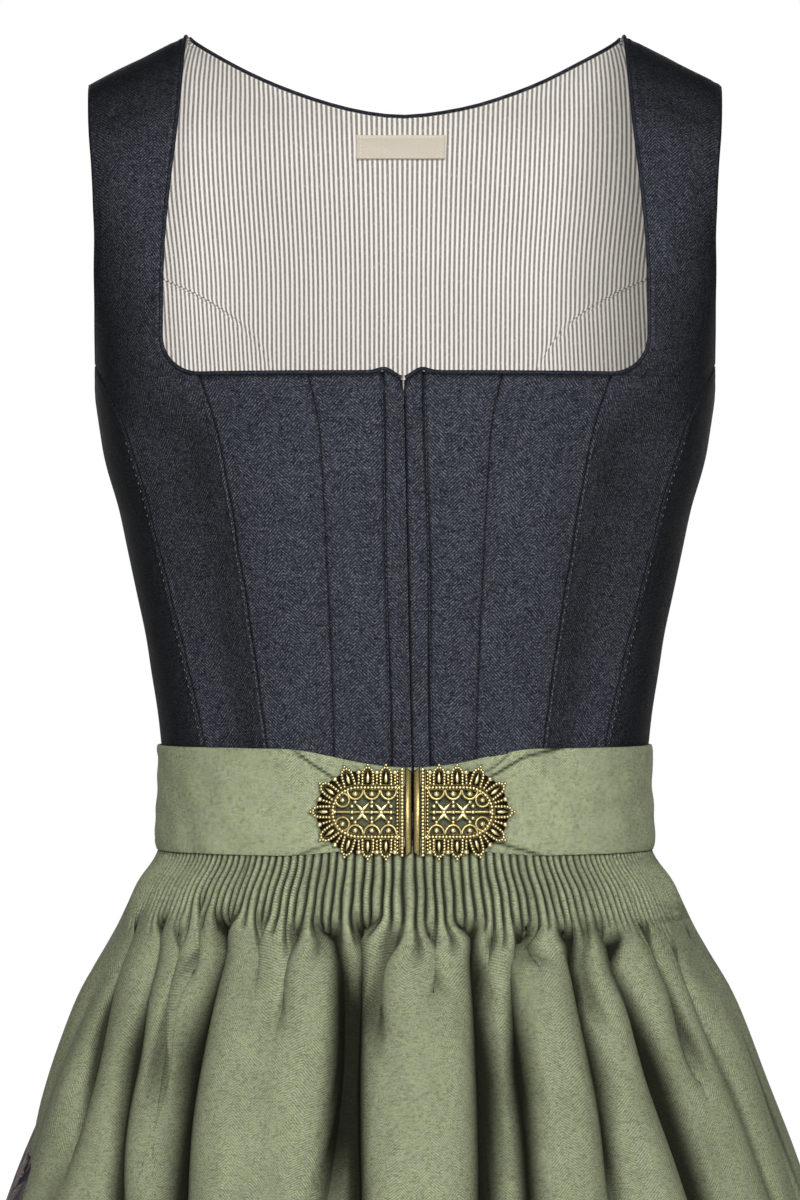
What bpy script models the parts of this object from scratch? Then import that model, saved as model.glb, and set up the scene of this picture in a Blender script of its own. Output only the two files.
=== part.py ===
"""A dirndl dress, filled out with no wearer: a dark twill bodice with a square neck,
a striped lining in its back, a gathered jacquard skirt, a green apron on a wide
waistband, and a two-part filigree clasp.

Metres, +Z up, the front facing -Y. The origin is midway between the shoulder straps,
at the height of their undersides, where a wearer carries the dress.
"""

import math
from collections import namedtuple

import bmesh
import bpy
from mathutils import Vector

# ---------------------------------------------------------------- driving sizes
WAIST_HEIGHT = -0.4000  # seam between bodice and skirt
BAND_TOP = -0.3700
BAND_BOTTOM = -0.4240
APRON_HEM = -1.0600
SKIRT_HEM = -1.1000
TO_HEM = SKIRT_HEM - 0.0800  # the end of a fold that runs out through the hem

BODICE_CLOTH = 0.0012
LINING_CLOTH = 0.0010
BAND_CLOTH = 0.0014
SKIRT_CLOTH = 0.0012
APRON_CLOTH = 0.0012
LABEL_CLOTH = 0.0008

SEAM_INSET = 0.0002  # each side of a seam, so pieces stand about 0.4 mm apart
SKIRT_INSET = 0.0005  # more where the wall's edges tip towards each other
SHOULDER_INSET = 0.0007
LAYER_GAP = 0.0004  # between a layer and the one under it
BAND_GAP = 0.0010  # the waistband's flats clear the panels' corners by this
APRON_LIFT = APRON_CLOTH + 0.0008  # outside of the skirt to the outside of the apron
APRON_TUCK = 0.0014  # the apron's gathered edge starts this far below the waistband

RIDGE_Y = 0.0100  # the line over the shoulders where front meets back
RIDGE_HEIGHT = -3.0e-7  # just under the ridge, which leaves the shoulder seam's gap
NECK_POINT_X = 0.1135  # inner end of the shoulder line
SHOULDER_SLOPE = 0.51  # how fast the shoulder line falls outside the neck point
SLOPE_FADES_AT = -0.120  # the slope of the shoulder is gone at this height

NECKLINE_HEIGHT = -0.1795
NECK_CORNER_RADIUS = 0.019
NECK_CORNER_TOP = NECKLINE_HEIGHT + NECK_CORNER_RADIUS
PIPING_RADIUS = 0.0011
PIPING_RECESS = 2 * PIPING_RADIUS + 0.0007  # panel edge to the finished neck edge
BACK_NECK_DROP = 0.0365
BACK_NECK_POWER = 1.8

FRONT_GAP = 0.0008  # between the two front edges, which only meet
FRONT_LEAN = 0.021  # the front closing leans this much to +X for each metre down
FRONT_LEAN_FROM = -0.228  # height where it crosses X = 0

ARMHOLE_BOTTOM = -0.1900
SIDE_FRONT_TIP = -0.1735  # where the forward side seam meets the armhole
SIDE_BACK_TIP = -0.1180  # where the curved back seam meets the armhole

LABEL_WIDTH = 0.0475
LABEL_TOP = -0.0460
LABEL_BOTTOM = -0.0585

CLASP_X = 0.0037
CLASP_Z = -0.4014
CLASP_REACH = 0.0530  # meeting line to the tip of one half
CLASP_HALF_HEIGHT = 0.0245
CLASP_PLATE = 0.0014
CLASP_BAR = 0.0026
CLASP_CLEARANCE = 0.0030  # waistband to the back of the plate at the meeting line
CLASP_BOW = 2.45  # each half bends back round the waist by this, times its length squared


def table(columns, *rows):
    row_type = namedtuple("Row", columns)
    return [row_type(*row) for row in rows]


# Plan sections of the body of the dress, half of a superellipse to the front and half
# to the back of the shoulder ridge. Depths are measured from the ridge.
BODICE_SECTIONS = table(
    "height half_width front back squareness",
    (-0.000, 0.1950, 0.0000, 0.0000, 4.00),
    (-0.030, 0.1860, 0.0500, 0.0470, 3.60),
    (-0.060, 0.1780, 0.0720, 0.0660, 3.20),
    (-0.110, 0.1700, 0.0960, 0.0840, 2.75),
    (-0.150, 0.1650, 0.1110, 0.0930, 2.50),
    (-0.190, 0.1612, 0.1230, 0.0990, 2.40),
    (-0.214, 0.1580, 0.1270, 0.1010, 2.35),
    (-0.249, 0.1490, 0.1250, 0.1000, 2.30),
    (-0.276, 0.1430, 0.1200, 0.0970, 2.28),
    (-0.316, 0.1345, 0.1110, 0.0910, 2.24),
    (-0.343, 0.1305, 0.1070, 0.0880, 2.20),
    (-0.372, 0.1268, 0.1050, 0.0860, 2.20),
    (-0.400, 0.1250, 0.1030, 0.0850, 2.20),
)
SHOULDER_ROUNDING = 0.283  # depth of the shoulder's round, over the root of the drop
SHOULDER_ROUND_ENDS = -0.030
BUST_FULLNESS = 0.005  # darted fullness either side of the front closing
BUST_X = 0.072
BUST_HEIGHT = -0.216

# The outside of the dress skirt at the crests of its folds, in the same terms.
SKIRT_SECTIONS = table(
    "height half_width front back squareness",
    (-0.400, 0.1250, 0.1030, 0.0850, 2.20),
    (-0.424, 0.1262, 0.1042, 0.0862, 2.20),
    (-0.439, 0.1330, 0.1100, 0.0915, 2.18),
    (-0.466, 0.1455, 0.1210, 0.1020, 2.15),
    (-0.500, 0.1650, 0.1380, 0.1200, 2.10),
    (-0.550, 0.1865, 0.1580, 0.1430, 2.08),
    (-0.600, 0.2055, 0.1760, 0.1630, 2.05),
    (-0.700, 0.2385, 0.2080, 0.1960, 2.03),
    (-0.800, 0.2665, 0.2350, 0.2240, 2.00),
    (-0.950, 0.3010, 0.2660, 0.2560, 2.00),
    (-1.100, 0.3290, 0.2900, 0.2810, 2.00),
)

# Seams and edges of the right half, as X at each height. The left half mirrors them.
INNER_PRINCESS = table(
    "height x",
    (-0.182, 0.0485), (-0.209, 0.0430), (-0.270, 0.0397), (-0.334, 0.0370), (-0.400, 0.0355),
)
OUTER_PRINCESS = table(
    "height x",
    (-0.182, 0.1040), (-0.199, 0.0980), (-0.226, 0.0915), (-0.277, 0.0834),
    (-0.334, 0.0748), (-0.400, 0.0665),
)
SIDE_FRONT_SEAM = table(
    "height x",
    (-0.1735, 0.1603), (-0.201, 0.1465), (-0.238, 0.1343), (-0.286, 0.1220),
    (-0.335, 0.1107), (-0.400, 0.0955),
)
STRAP_INNER_EDGE = table(
    "height x",
    (-0.000, 0.1135), (-0.044, 0.1160), (-0.083, 0.1199), (-0.1155, 0.1225),
    (-0.1413, 0.1232), (-0.1605, 0.1232),
)
ARMHOLE_FRONT_EDGE = table(
    "height x",
    (-0.000, 0.1650), (-0.060, 0.1618), (-0.085, 0.1607), (-0.1175, 0.1607),
    (-0.163, 0.1610), (-0.190, 0.1612),
)
ARMHOLE_BACK_EDGE = table(
    "height x",
    (-0.000, 0.1650), (-0.060, 0.1570), (-0.110, 0.1525), (-0.150, 0.1550),
    (-0.190, 0.1612),
)
BACK_SEAM = table(
    "height x",
    (-0.116, 0.1525), (-0.1325, 0.1100), (-0.149, 0.0860), (-0.170, 0.0720),
    (-0.210, 0.0600), (-0.300, 0.0500), (-0.400, 0.0450),
)

# Heights of the rows of points in the bodice panels
STRAP_ROWS = (-0.130, -0.100, -0.072, -0.048, -0.028, -0.013, -0.004)
BODY_ROWS = (-0.400, -0.372, -0.338, -0.300, -0.262, -0.230, -0.205, ARMHOLE_BOTTOM)
BACK_SEAM_ROWS = (-0.168, -0.147, -0.132, SIDE_BACK_TIP - 0.0030)

# Where the dress skirt and the apron end, round the body in degrees from the front
SKIRT_SIDE_SEAM = 112
APRON_EDGES = table(
    "height left right",
    (-0.424, -97, 100), (-0.550, -90, 95), (-0.600, -74, 92), (-0.700, -70, 90),
    (-1.100, -67, 86),
)

# Troughs of the largest folds. An angle is in degrees round the body from the front,
# where the trough begins, and then at 0.6 m down. Lengths are in metres: the width is
# from the middle of the trough to the edge of its slope.
FOLDS = table(
    "start_angle low_angle width depth start_height end_height",
    (-164, -165, 0.020, 0.024, -0.430, TO_HEM),
    (-146, -147, 0.016, 0.020, -0.430, TO_HEM),
    (-128, -130, 0.020, 0.026, -0.430, TO_HEM),
    (-56, -45, 0.012, 0.022, -0.458, TO_HEM),
    (-36, -31, 0.014, 0.026, -0.452, TO_HEM),
    (-13, -10, 0.014, 0.012, -0.458, -0.660),
    (-6, -4, 0.009, 0.018, -0.455, TO_HEM),
    (12, 10, 0.013, 0.024, -0.458, TO_HEM),
    (21, 19, 0.010, 0.020, -0.458, TO_HEM),
    (32, 30, 0.016, 0.014, -0.458, -0.640),
    (41, 43, 0.013, 0.024, -0.464, TO_HEM),
    (129, 131, 0.020, 0.024, -0.430, TO_HEM),
    (147, 146, 0.016, 0.022, -0.430, TO_HEM),
    (163, 164, 0.020, 0.020, -0.430, TO_HEM),
)
FOLD_LOW_HEIGHT = -0.600
FOLD_RISE = 0.075  # a trough reaches its depth over this length
FOLD_GROWTH = 0.35  # and then deepens by this share for each metre
SKIRT_ROWS = (
    WAIST_HEIGHT - 0.0003, BAND_BOTTOM - 0.0003, -0.439, -0.464, -0.492, -0.540, -0.600, -0.700,
    -0.860, APRON_HEM, SKIRT_HEM,
)

# ---------------------------------------------------------------- materials
COLORS = {
    "bodice_twill": ((0.045, 0.051, 0.072), 0.80, 0.0),
    "lining_ticking": ((0.60, 0.57, 0.53), 0.85, 0.0),
    "label_tape": ((0.80, 0.75, 0.64), 0.80, 0.0),
    "apron_linen": ((0.285, 0.325, 0.200), 0.85, 0.0),
    "skirt_jacquard": ((0.115, 0.085, 0.080), 0.75, 0.0),
    "antique_brass": ((0.48, 0.34, 0.11), 0.35, 1.0),
}


def make_material(name):
    color, roughness, metallic = COLORS[name]
    material = bpy.data.materials.new(name)
    material.use_nodes = True
    shader = material.node_tree.nodes["Principled BSDF"]
    shader.inputs["Base Color"].default_value = (*color, 1.0)
    shader.inputs["Roughness"].default_value = roughness
    shader.inputs["Metallic"].default_value = metallic
    material.diffuse_color = (*color, 1.0)
    return material


# ---------------------------------------------------------------- sizes from tables
def smooth_value(rows, column, height):
    """A column's value at a height, on a smooth curve that never overshoots its rows."""
    ordered = sorted(rows, key=lambda row: row.height)
    keys = [row.height for row in ordered]
    values = [getattr(row, column) for row in ordered]
    if height <= keys[0]:
        return values[0]
    if height >= keys[-1]:
        return values[-1]
    slopes = [
        (values[i + 1] - values[i]) / (keys[i + 1] - keys[i]) for i in range(len(keys) - 1)
    ]
    index = max(i for i in range(len(slopes)) if keys[i] <= height)
    tangents = []
    for i in (index, index + 1):
        before = slopes[max(i - 1, 0)]
        after = slopes[min(i, len(slopes) - 1)]
        mean = 2 * before * after / (before + after) if before * after > 0 else 0.0
        tangents.append(mean)
    span = keys[index + 1] - keys[index]
    t = (height - keys[index]) / span
    return (
        values[index] * (1 + 2 * t) * (1 - t) ** 2
        + tangents[0] * span * t * (1 - t) ** 2
        + values[index + 1] * t * t * (3 - 2 * t)
        + tangents[1] * span * t * t * (t - 1)
    )


def smooth_step(value):
    value = min(max(value, 0.0), 1.0)
    return value * value * (3 - 2 * value)


def section_point(sections, angle, height):
    """A point on a plan section. The angle is 0 at the front and grows towards +X."""
    half_width = smooth_value(sections, "half_width", height)
    power = 2 / smooth_value(sections, "squareness", height)
    facing = math.cos(angle)
    depth = smooth_value(sections, "front" if facing >= 0 else "back", height)
    x = math.copysign(half_width * abs(math.sin(angle)) ** power, math.sin(angle))
    y = RIDGE_Y - math.copysign(depth * abs(facing) ** power, facing)
    return x, y


def angle_at(x, height, back=False):
    """The angle round the bodice of a point at this X."""
    half_width = smooth_value(BODICE_SECTIONS, "half_width", height)
    squareness = smooth_value(BODICE_SECTIONS, "squareness", height)
    angle = math.asin(min(abs(x) / half_width, 1.0) ** (squareness / 2))
    if back:
        angle = math.pi - angle
    return math.copysign(angle, x)


def bodice_point(angle, height):
    """The outside of the bodice. Near the shoulders, height is counted from the ridge."""
    x, y = section_point(BODICE_SECTIONS, angle, height)
    if height > SHOULDER_ROUND_ENDS:
        near = SHOULDER_ROUNDING * math.sqrt(max(-height, 0.0))
        side = "front" if math.cos(angle) >= 0 else "back"
        table_depth = smooth_value(BODICE_SECTIONS, side, height)
        end_depth = smooth_value(BODICE_SECTIONS, side, SHOULDER_ROUND_ENDS)
        round_depth = near * end_depth / (SHOULDER_ROUNDING * math.sqrt(-SHOULDER_ROUND_ENDS))
        y = RIDGE_Y + (y - RIDGE_Y) * round_depth / max(table_depth, 1e-9)
    if math.cos(angle) > 0:
        across = (abs(x) - BUST_X) / 0.040
        along = (height - BUST_HEIGHT) / 0.045
        y -= BUST_FULLNESS * math.exp(-across * across - along * along)
    fall = SHOULDER_SLOPE * max(abs(x) - NECK_POINT_X, 0.0)
    z = height - fall * smooth_step(1 - height / SLOPE_FADES_AT)
    return Vector((x, y, z))


def bodice_shell_point(angle, height, out):
    """A point moved off the outside of the bodice along its normal."""
    step = 1e-4
    around = bodice_point(angle + step, height) - bodice_point(angle - step, height)
    along = bodice_point(angle, height) - bodice_point(angle, height - step)
    return bodice_point(angle, height) + around.cross(along).normalized() * out


def front_edge_x(height):
    """X of the line where the two fronts meet."""
    return (FRONT_LEAN_FROM - height) * FRONT_LEAN


def neckline_height(distance):
    """Height of the finished front neckline, by distance from the front edge."""
    lift = 0.0017 * math.exp(-(((distance - 0.0095) / 0.0045) ** 2))
    dip = 0.0028 * math.exp(-((distance / 0.0050) ** 2))
    return NECKLINE_HEIGHT + lift - dip


def neck_edge(recess):
    """Rows of (height, x) up the inner edge of a strap, moved out by a recess."""
    radius = NECK_CORNER_RADIUS + recess
    center_x = STRAP_INNER_EDGE[-1].x - NECK_CORNER_RADIUS
    rows = []
    for degrees in (90, 68, 46, 23, 0):
        turn = math.radians(degrees)
        rows.append(
            (NECK_CORNER_TOP - radius * math.sin(turn), center_x + radius * math.cos(turn))
        )
    for height in STRAP_ROWS + (RIDGE_HEIGHT,):
        rows.append((height, smooth_value(STRAP_INNER_EDGE, "x", height) + recess))
    return rows


# ---------------------------------------------------------------- cloth from grids
def moved(point, towards, distance):
    return point + (towards - point).normalized() * distance


def inset_grid(grid, left=SEAM_INSET, right=SEAM_INSET, bottom=SEAM_INSET, top=SEAM_INSET):
    """Draws the edges of a grid of points in from its seams."""
    for row in grid:
        row[0] = moved(row[0], row[1], left)
        row[-1] = moved(row[-1], row[-2], right)
    grid[0] = [moved(p, q, bottom) for p, q in zip(grid[0], grid[1])]
    grid[-1] = [moved(p, q, top) for p, q in zip(grid[-1], grid[-2])]
    return grid


def grid_normals(grid):
    """Outward normals of a grid of points, as the mean of the faces at each."""
    normals = []
    for j, row in enumerate(grid):
        below = grid[max(j - 1, 0)]
        above = grid[min(j + 1, len(grid) - 1)]
        line = []
        for i in range(len(row)):
            before = row[max(i - 1, 0)]
            after = row[min(i + 1, len(row) - 1)]
            left = (row[i] - before).cross(above[i] - below[i])
            right = (after - row[i]).cross(above[i] - below[i])
            total = Vector((0, 0, 0))
            for face in (left, right):
                if face.length > 0:
                    total += face.normalized()
            line.append(total.normalized())
        normals.append(line)
    return normals


def moved_out(grid, distance):
    normals = grid_normals(grid)
    return [
        [point + normal * distance for point, normal in zip(row, normal_row)]
        for row, normal_row in zip(grid, normals)
    ]


def mirrored(grid):
    return [[Vector((-p.x, p.y, p.z)) for p in reversed(row)] for row in grid]


def add_cloth(name, grid, thickness, material, collection):
    """A wall of cloth: an open surface through the grid, thickened inwards."""
    rows, columns = len(grid), len(grid[0])
    bm = bmesh.new()
    bmesh.ops.create_grid(bm, x_segments=columns - 1, y_segments=rows - 1, size=1)
    bm.verts.ensure_lookup_table()
    for index, vert in enumerate(bm.verts):
        vert.co = grid[index // columns][index % columns]
    mesh = bpy.data.meshes.new(name)
    bm.to_mesh(mesh)
    bm.free()
    mesh.shade_smooth()
    mesh.materials.append(material)
    cloth = bpy.data.objects.new(name, mesh)
    collection.objects.link(cloth)
    wall = cloth.modifiers.new("Wall", "SOLIDIFY")
    wall.thickness = thickness
    wall.offset = -1
    return cloth


def panel_grid(rows, columns, out=0.0):
    """Points between two edges. Each row is (height, first angle, last angle)."""
    grid = []
    for height, first, last in rows:
        angles = [first + (last - first) * i / columns for i in range(columns + 1)]
        grid.append([bodice_shell_point(angle, height, out) for angle in angles])
    return grid


# ---------------------------------------------------------------- bodice
def center_front_grid(side):
    """Front edge to the inner princess seam, as the right half for either side."""
    shares = (0, 0.10, 0.23, 0.42, 0.70, 1)
    grid = []
    for height in BODY_ROWS + (NECKLINE_HEIGHT - PIPING_RECESS,):
        edge = side * front_edge_x(height) + FRONT_GAP / 2
        seam = smooth_value(INNER_PRINCESS, "x", height)
        top_row = height == NECKLINE_HEIGHT - PIPING_RECESS
        row = []
        for share in shares:
            x = edge + (seam - edge) * share
            row_height = neckline_height(x - edge) - PIPING_RECESS if top_row else height
            row.append(bodice_point(angle_at(x, row_height), row_height))
        grid.append(row)
    return inset_grid(grid, left=0.0, top=0.0)


def mid_front_grid():
    rows = []
    for height in BODY_ROWS + (NECKLINE_HEIGHT - PIPING_RECESS,):
        inner = angle_at(smooth_value(INNER_PRINCESS, "x", height), height)
        outer = angle_at(smooth_value(OUTER_PRINCESS, "x", height), height)
        rows.append((height, inner, outer))
    return inset_grid(panel_grid(rows, 4), top=0.0)


def strap_front_grid():
    """Outer princess seam and neck edge, to the forward side seam and the armhole."""
    edges = [(height, smooth_value(OUTER_PRINCESS, "x", height)) for height in BODY_ROWS]
    edges += neck_edge(PIPING_RECESS)
    rows = []
    for height, inner_x in edges:
        if height < SIDE_FRONT_TIP:
            outer_x = smooth_value(SIDE_FRONT_SEAM, "x", height)
        else:
            outer_x = smooth_value(ARMHOLE_FRONT_EDGE, "x", height)
        rows.append((height, angle_at(inner_x, height), angle_at(outer_x, height)))
    return inset_grid(panel_grid(rows, 4), top=SHOULDER_INSET)


def side_front_grid():
    rows = []
    neck_rows = [height for height, x in neck_edge(PIPING_RECESS) if height < SIDE_FRONT_TIP]
    for height in list(BODY_ROWS) + neck_rows:
        inner = angle_at(smooth_value(SIDE_FRONT_SEAM, "x", height), height)
        outer = math.pi / 2
        if height > ARMHOLE_BOTTOM:
            outer = angle_at(smooth_value(ARMHOLE_FRONT_EDGE, "x", height), height)
        rows.append((height, inner, outer))
    return inset_grid(panel_grid(rows, 4))


def side_back_grid(out=0.0):
    rows = []
    for height in BODY_ROWS + BACK_SEAM_ROWS:
        inner = angle_at(smooth_value(BACK_SEAM, "x", height), height, back=True)
        outer = math.pi / 2
        if height > ARMHOLE_BOTTOM:
            outer = angle_at(smooth_value(ARMHOLE_BACK_EDGE, "x", height), height, back=True)
        rows.append((height, outer, inner))
    return inset_grid(panel_grid(rows, 4, out))


def back_neck_height(x):
    return -BACK_NECK_DROP * (1 - (min(abs(x), NECK_POINT_X) / NECK_POINT_X) ** BACK_NECK_POWER)


def back_columns():
    """Shares of the half width of the back: the neck first, then the strap."""
    edge = ARMHOLE_BACK_EDGE[0].x
    neck = [NECK_POINT_X * math.sin(math.pi / 2 * i / 4) for i in range(5)]
    strap = [NECK_POINT_X + (edge - NECK_POINT_X) * i / 2 for i in (1, 2)]
    half = [x / edge for x in neck + strap]
    return [-share for share in reversed(half[1:])] + half


def center_back_grid(out=0.0):
    """Both back straps and the back between the curved seams, cut on the fold."""
    edge_top = ARMHOLE_BACK_EDGE[0].x
    columns = [(share, back_neck_height(share * edge_top)) for share in back_columns()]
    levels = BODY_ROWS + BACK_SEAM_ROWS
    levels += (-0.100, -0.074, -0.048, -0.026, -0.011, -0.003, RIDGE_HEIGHT)
    grid = []
    for level in levels:
        row = []
        for share, top in columns:
            # Above the seam the rows close up to meet the neckline
            squeeze = smooth_step((level + 0.123) / 0.123)
            height = min(level + top * squeeze, RIDGE_HEIGHT)
            edges = BACK_SEAM if height < SIDE_BACK_TIP else ARMHOLE_BACK_EDGE
            x = share * smooth_value(edges, "x", height)
            row.append(bodice_shell_point(angle_at(x or 1e-9, height, back=True), height, out))
        grid.append(list(reversed(row)))
    grid = inset_grid(grid, top=SHOULDER_INSET)
    for i, point in enumerate(grid[-1]):
        if abs(point.x) < NECK_POINT_X + 0.001:
            grid[-1][i] = moved(point, grid[-2][i], PIPING_RECESS - SHOULDER_INSET)
    return grid


def build_bodice(materials, collection):
    twill = materials["bodice_twill"]
    for side, sign in (("left", -1), ("right", 1)):
        grids = {
            "bodice_center_front": center_front_grid(sign),
            "bodice_mid_front": mid_front_grid(),
            "bodice_strap_front": strap_front_grid(),
            "bodice_side_front": side_front_grid(),
            "bodice_side_back": side_back_grid(),
        }
        for name, grid in grids.items():
            if sign < 0:
                grid = mirrored(grid)
            add_cloth(f"{name}_{side}", grid, BODICE_CLOTH, twill, collection)
    add_cloth("bodice_center_back", center_back_grid(), BODICE_CLOTH, twill, collection)


def build_lining(materials, collection):
    ticking = materials["lining_ticking"]
    depth = -(BODICE_CLOTH + LAYER_GAP)
    back = center_back_grid(depth)
    add_cloth("lining_center_back", back, LINING_CLOTH, ticking, collection)
    side = side_back_grid(depth)
    add_cloth("lining_side_back_right", side, LINING_CLOTH, ticking, collection)
    add_cloth("lining_side_back_left", mirrored(side), LINING_CLOTH, ticking, collection)

    label_depth = depth - LINING_CLOTH - LAYER_GAP
    grid = []
    for height in (LABEL_BOTTOM, LABEL_TOP):
        row = []
        for i in range(7):
            x = LABEL_WIDTH * (0.5 - i / 6) or 1e-9
            row.append(bodice_shell_point(angle_at(x, height, back=True), height, label_depth))
        grid.append(row)
    add_cloth("neck_label", grid, LABEL_CLOTH, materials["label_tape"], collection)


def add_piping(name, points, material, collection):
    curve = bpy.data.curves.new(name, "CURVE")
    curve.dimensions = "3D"
    curve.bevel_depth = PIPING_RADIUS
    curve.bevel_resolution = 1
    curve.use_fill_caps = True
    spline = curve.splines.new("POLY")
    spline.points.add(len(points) - 1)
    for target, point in zip(spline.points, points):
        target.co = (*point, 1.0)
    curve.materials.append(material)
    collection.objects.link(bpy.data.objects.new(name, curve))


def build_piping(materials, collection):
    """Narrow self-fabric edging round the neck, on the middle of the cloth's wall."""
    depth = -BODICE_CLOTH / 2
    for side, sign in (("left", -1), ("right", 1)):
        points = []
        for x in (0.0010, 0.0050, 0.0100, 0.0150, 0.0220, 0.0400, 0.0600, 0.0800):
            edge = sign * front_edge_x(NECKLINE_HEIGHT)
            height = neckline_height(x) - PIPING_RADIUS
            points.append(bodice_shell_point(angle_at(edge + x, height), height, depth))
        for height, x in neck_edge(PIPING_RADIUS):
            points.append(bodice_shell_point(angle_at(x, height), height, depth))
        points[-1] = moved(points[-1], points[-2], SEAM_INSET)
        if sign < 0:
            points = [Vector((-p.x, p.y, p.z)) for p in points]
        add_piping(f"neck_piping_front_{side}", points, materials["bodice_twill"], collection)

    grid = center_back_grid(depth)
    pairs = [(p, q) for p, q in zip(grid[-1], grid[-2]) if abs(p.x) < NECK_POINT_X + 0.001]
    points = []
    for i, (edge, below) in enumerate(pairs):
        along = pairs[min(i + 1, len(pairs) - 1)][0] - pairs[max(i - 1, 0)][0]
        outward = (edge - below) - (edge - below).project(along)
        points.append(edge + outward.normalized() * (PIPING_RECESS - PIPING_RADIUS))
    points[0] = moved(points[0], points[1], 0.0030)
    points[-1] = moved(points[-1], points[-2], 0.0030)
    add_piping("neck_piping_back", points, materials["bodice_twill"], collection)


# ---------------------------------------------------------------- skirt and apron
def fold_angle(fold, height):
    """Where a trough lies round the body, drifting less and less below mid length."""
    share = (fold.start_height - height) / (fold.start_height - FOLD_LOW_HEIGHT)
    share = max(share, 0.0)
    if share > 1:
        share = 2 - math.exp(1 - share)
        share = 1 + (share - 1) * 0.4
    return math.radians(fold.start_angle + (fold.low_angle - fold.start_angle) * share)


def fold_depth(fold, height):
    below = fold.start_height - height
    grow = smooth_step(below / FOLD_RISE) * (1 + FOLD_GROWTH * max(below - FOLD_RISE, 0.0))
    fade = smooth_step((height - fold.end_height) / 0.080)
    return fold.depth * grow * fade


def skirt_point(angle, height):
    """The outside of the dress skirt, with the troughs of its folds pressed in."""
    x, y = section_point(SKIRT_SECTIONS, angle, height)
    center = Vector((0.0, RIDGE_Y, height))
    outward = (Vector((x, y, height)) - center).normalized()
    radius = (Vector((x, y, height)) - center).length
    press = 0.0
    for fold in FOLDS:
        turn = (angle - fold_angle(fold, height) + math.pi) % (2 * math.pi) - math.pi
        spread = fold.width * (1 + 0.9 * max(FOLD_LOW_HEIGHT - height, 0.0))
        press += fold_depth(fold, height) * math.exp(-abs(turn * radius / spread) ** 1.8)
    return Vector((x, y, height)) - outward * press


def skirt_columns(height):
    """Angles of the columns at a height, as (angle, mark). Marks name seams and edges."""
    radius = smooth_value(SKIRT_SECTIONS, "half_width", height)
    anchors = [(math.radians(degrees), 0.0, mark) for degrees, mark in (
        (-180, "back"), (-SKIRT_SIDE_SEAM, "side_left"), (0, "front"),
        (SKIRT_SIDE_SEAM, "side_right"), (180, "back_end"))]
    for mark in ("left", "right"):
        edge = math.radians(smooth_value(APRON_EDGES, mark, height))
        anchors.append((edge, 0.0, "apron_" + mark))
    for fold in FOLDS:
        anchors.append((fold_angle(fold, height), fold.width * 1.1 / radius, "fold"))
    anchors.sort()
    columns = []
    for (angle, reach, mark), (after, after_reach, after_mark) in zip(anchors, anchors[1:]):
        room = after - angle
        first = angle + min(reach, room * 0.30)
        last = after - min(after_reach, room * 0.30)
        columns.append((angle, mark))
        if mark == "fold":
            columns.append((first, ""))
        columns.append(((first + last) / 2, ""))
        if after_mark == "fold":
            columns.append((last, ""))
    columns.append((anchors[-1][0], anchors[-1][2]))
    return columns


def skirt_grid(rows, first_mark, last_mark):
    grid = []
    for height in rows:
        columns = skirt_columns(height)
        marks = [mark for angle, mark in columns]
        part = columns[marks.index(first_mark):marks.index(last_mark) + 1]
        grid.append([skirt_point(angle, height) for angle, mark in part])
    return list(reversed(grid))


def build_skirt(materials, collection):
    jacquard = materials["skirt_jacquard"]
    gores = (
        ("skirt_back_left", "back", "side_left"),
        ("skirt_front_left", "side_left", "front"),
        ("skirt_front_right", "front", "side_right"),
        ("skirt_back_right", "side_right", "back_end"),
    )
    for name, first_mark, last_mark in gores:
        grid = skirt_grid(SKIRT_ROWS, first_mark, last_mark)
        grid = inset_grid(grid, left=SKIRT_INSET, right=SKIRT_INSET, top=0.0)
        add_cloth(name, grid, SKIRT_CLOTH, jacquard, collection)

    rows = [height for height in SKIRT_ROWS if BAND_BOTTOM > height >= APRON_HEM]
    grid = moved_out(skirt_grid(rows, "apron_left", "apron_right"), APRON_LIFT)
    grid = inset_grid(grid, left=0.0, right=0.0, bottom=0.0, top=APRON_TUCK)
    add_cloth("apron_skirt", grid, APRON_CLOTH, materials["apron_linen"], collection)


# ---------------------------------------------------------------- waistband and clasp
def band_point(angle, share, narrowing):
    """The outside of the waistband. The share runs from its lower edge to its top."""
    bottom = BAND_BOTTOM + 0.35 * narrowing
    top = BAND_TOP - 0.65 * narrowing
    height = bottom + (top - bottom) * share
    x, y = section_point(BODICE_SECTIONS, angle, height)
    flat = Vector((x, y - RIDGE_Y, 0.0))
    out = BAND_CLOTH + BAND_GAP + 0.0022 * smooth_step(1 - share)
    return Vector((x, y, height)) + flat.normalized() * out


def build_waistband(materials, collection):
    """All round the waist. Its two ends are gathered narrower under the clasp."""
    meeting = angle_at(CLASP_X, WAIST_HEIGHT)
    half_turn = math.pi
    distances = [0.010, 0.16, 0.34, 0.50]
    distances += [0.50 + (half_turn - 0.50) * i / 14 for i in range(1, 15)]
    angles = [meeting + d for d in distances]
    angles += [meeting + 2 * half_turn - d for d in reversed(distances[:-1])]
    grid = []
    for share in (0.0, 0.5, 1.0):
        row = []
        for angle in angles:
            from_front = min(angle - meeting, meeting + 2 * half_turn - angle)
            narrowing = 0.014 * (1 - smooth_step(from_front / 0.50))
            row.append(band_point(angle, share, narrowing))
        grid.append(row)
    add_cloth("apron_waistband", grid, BAND_CLOTH, materials["apron_linen"], collection)


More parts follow.
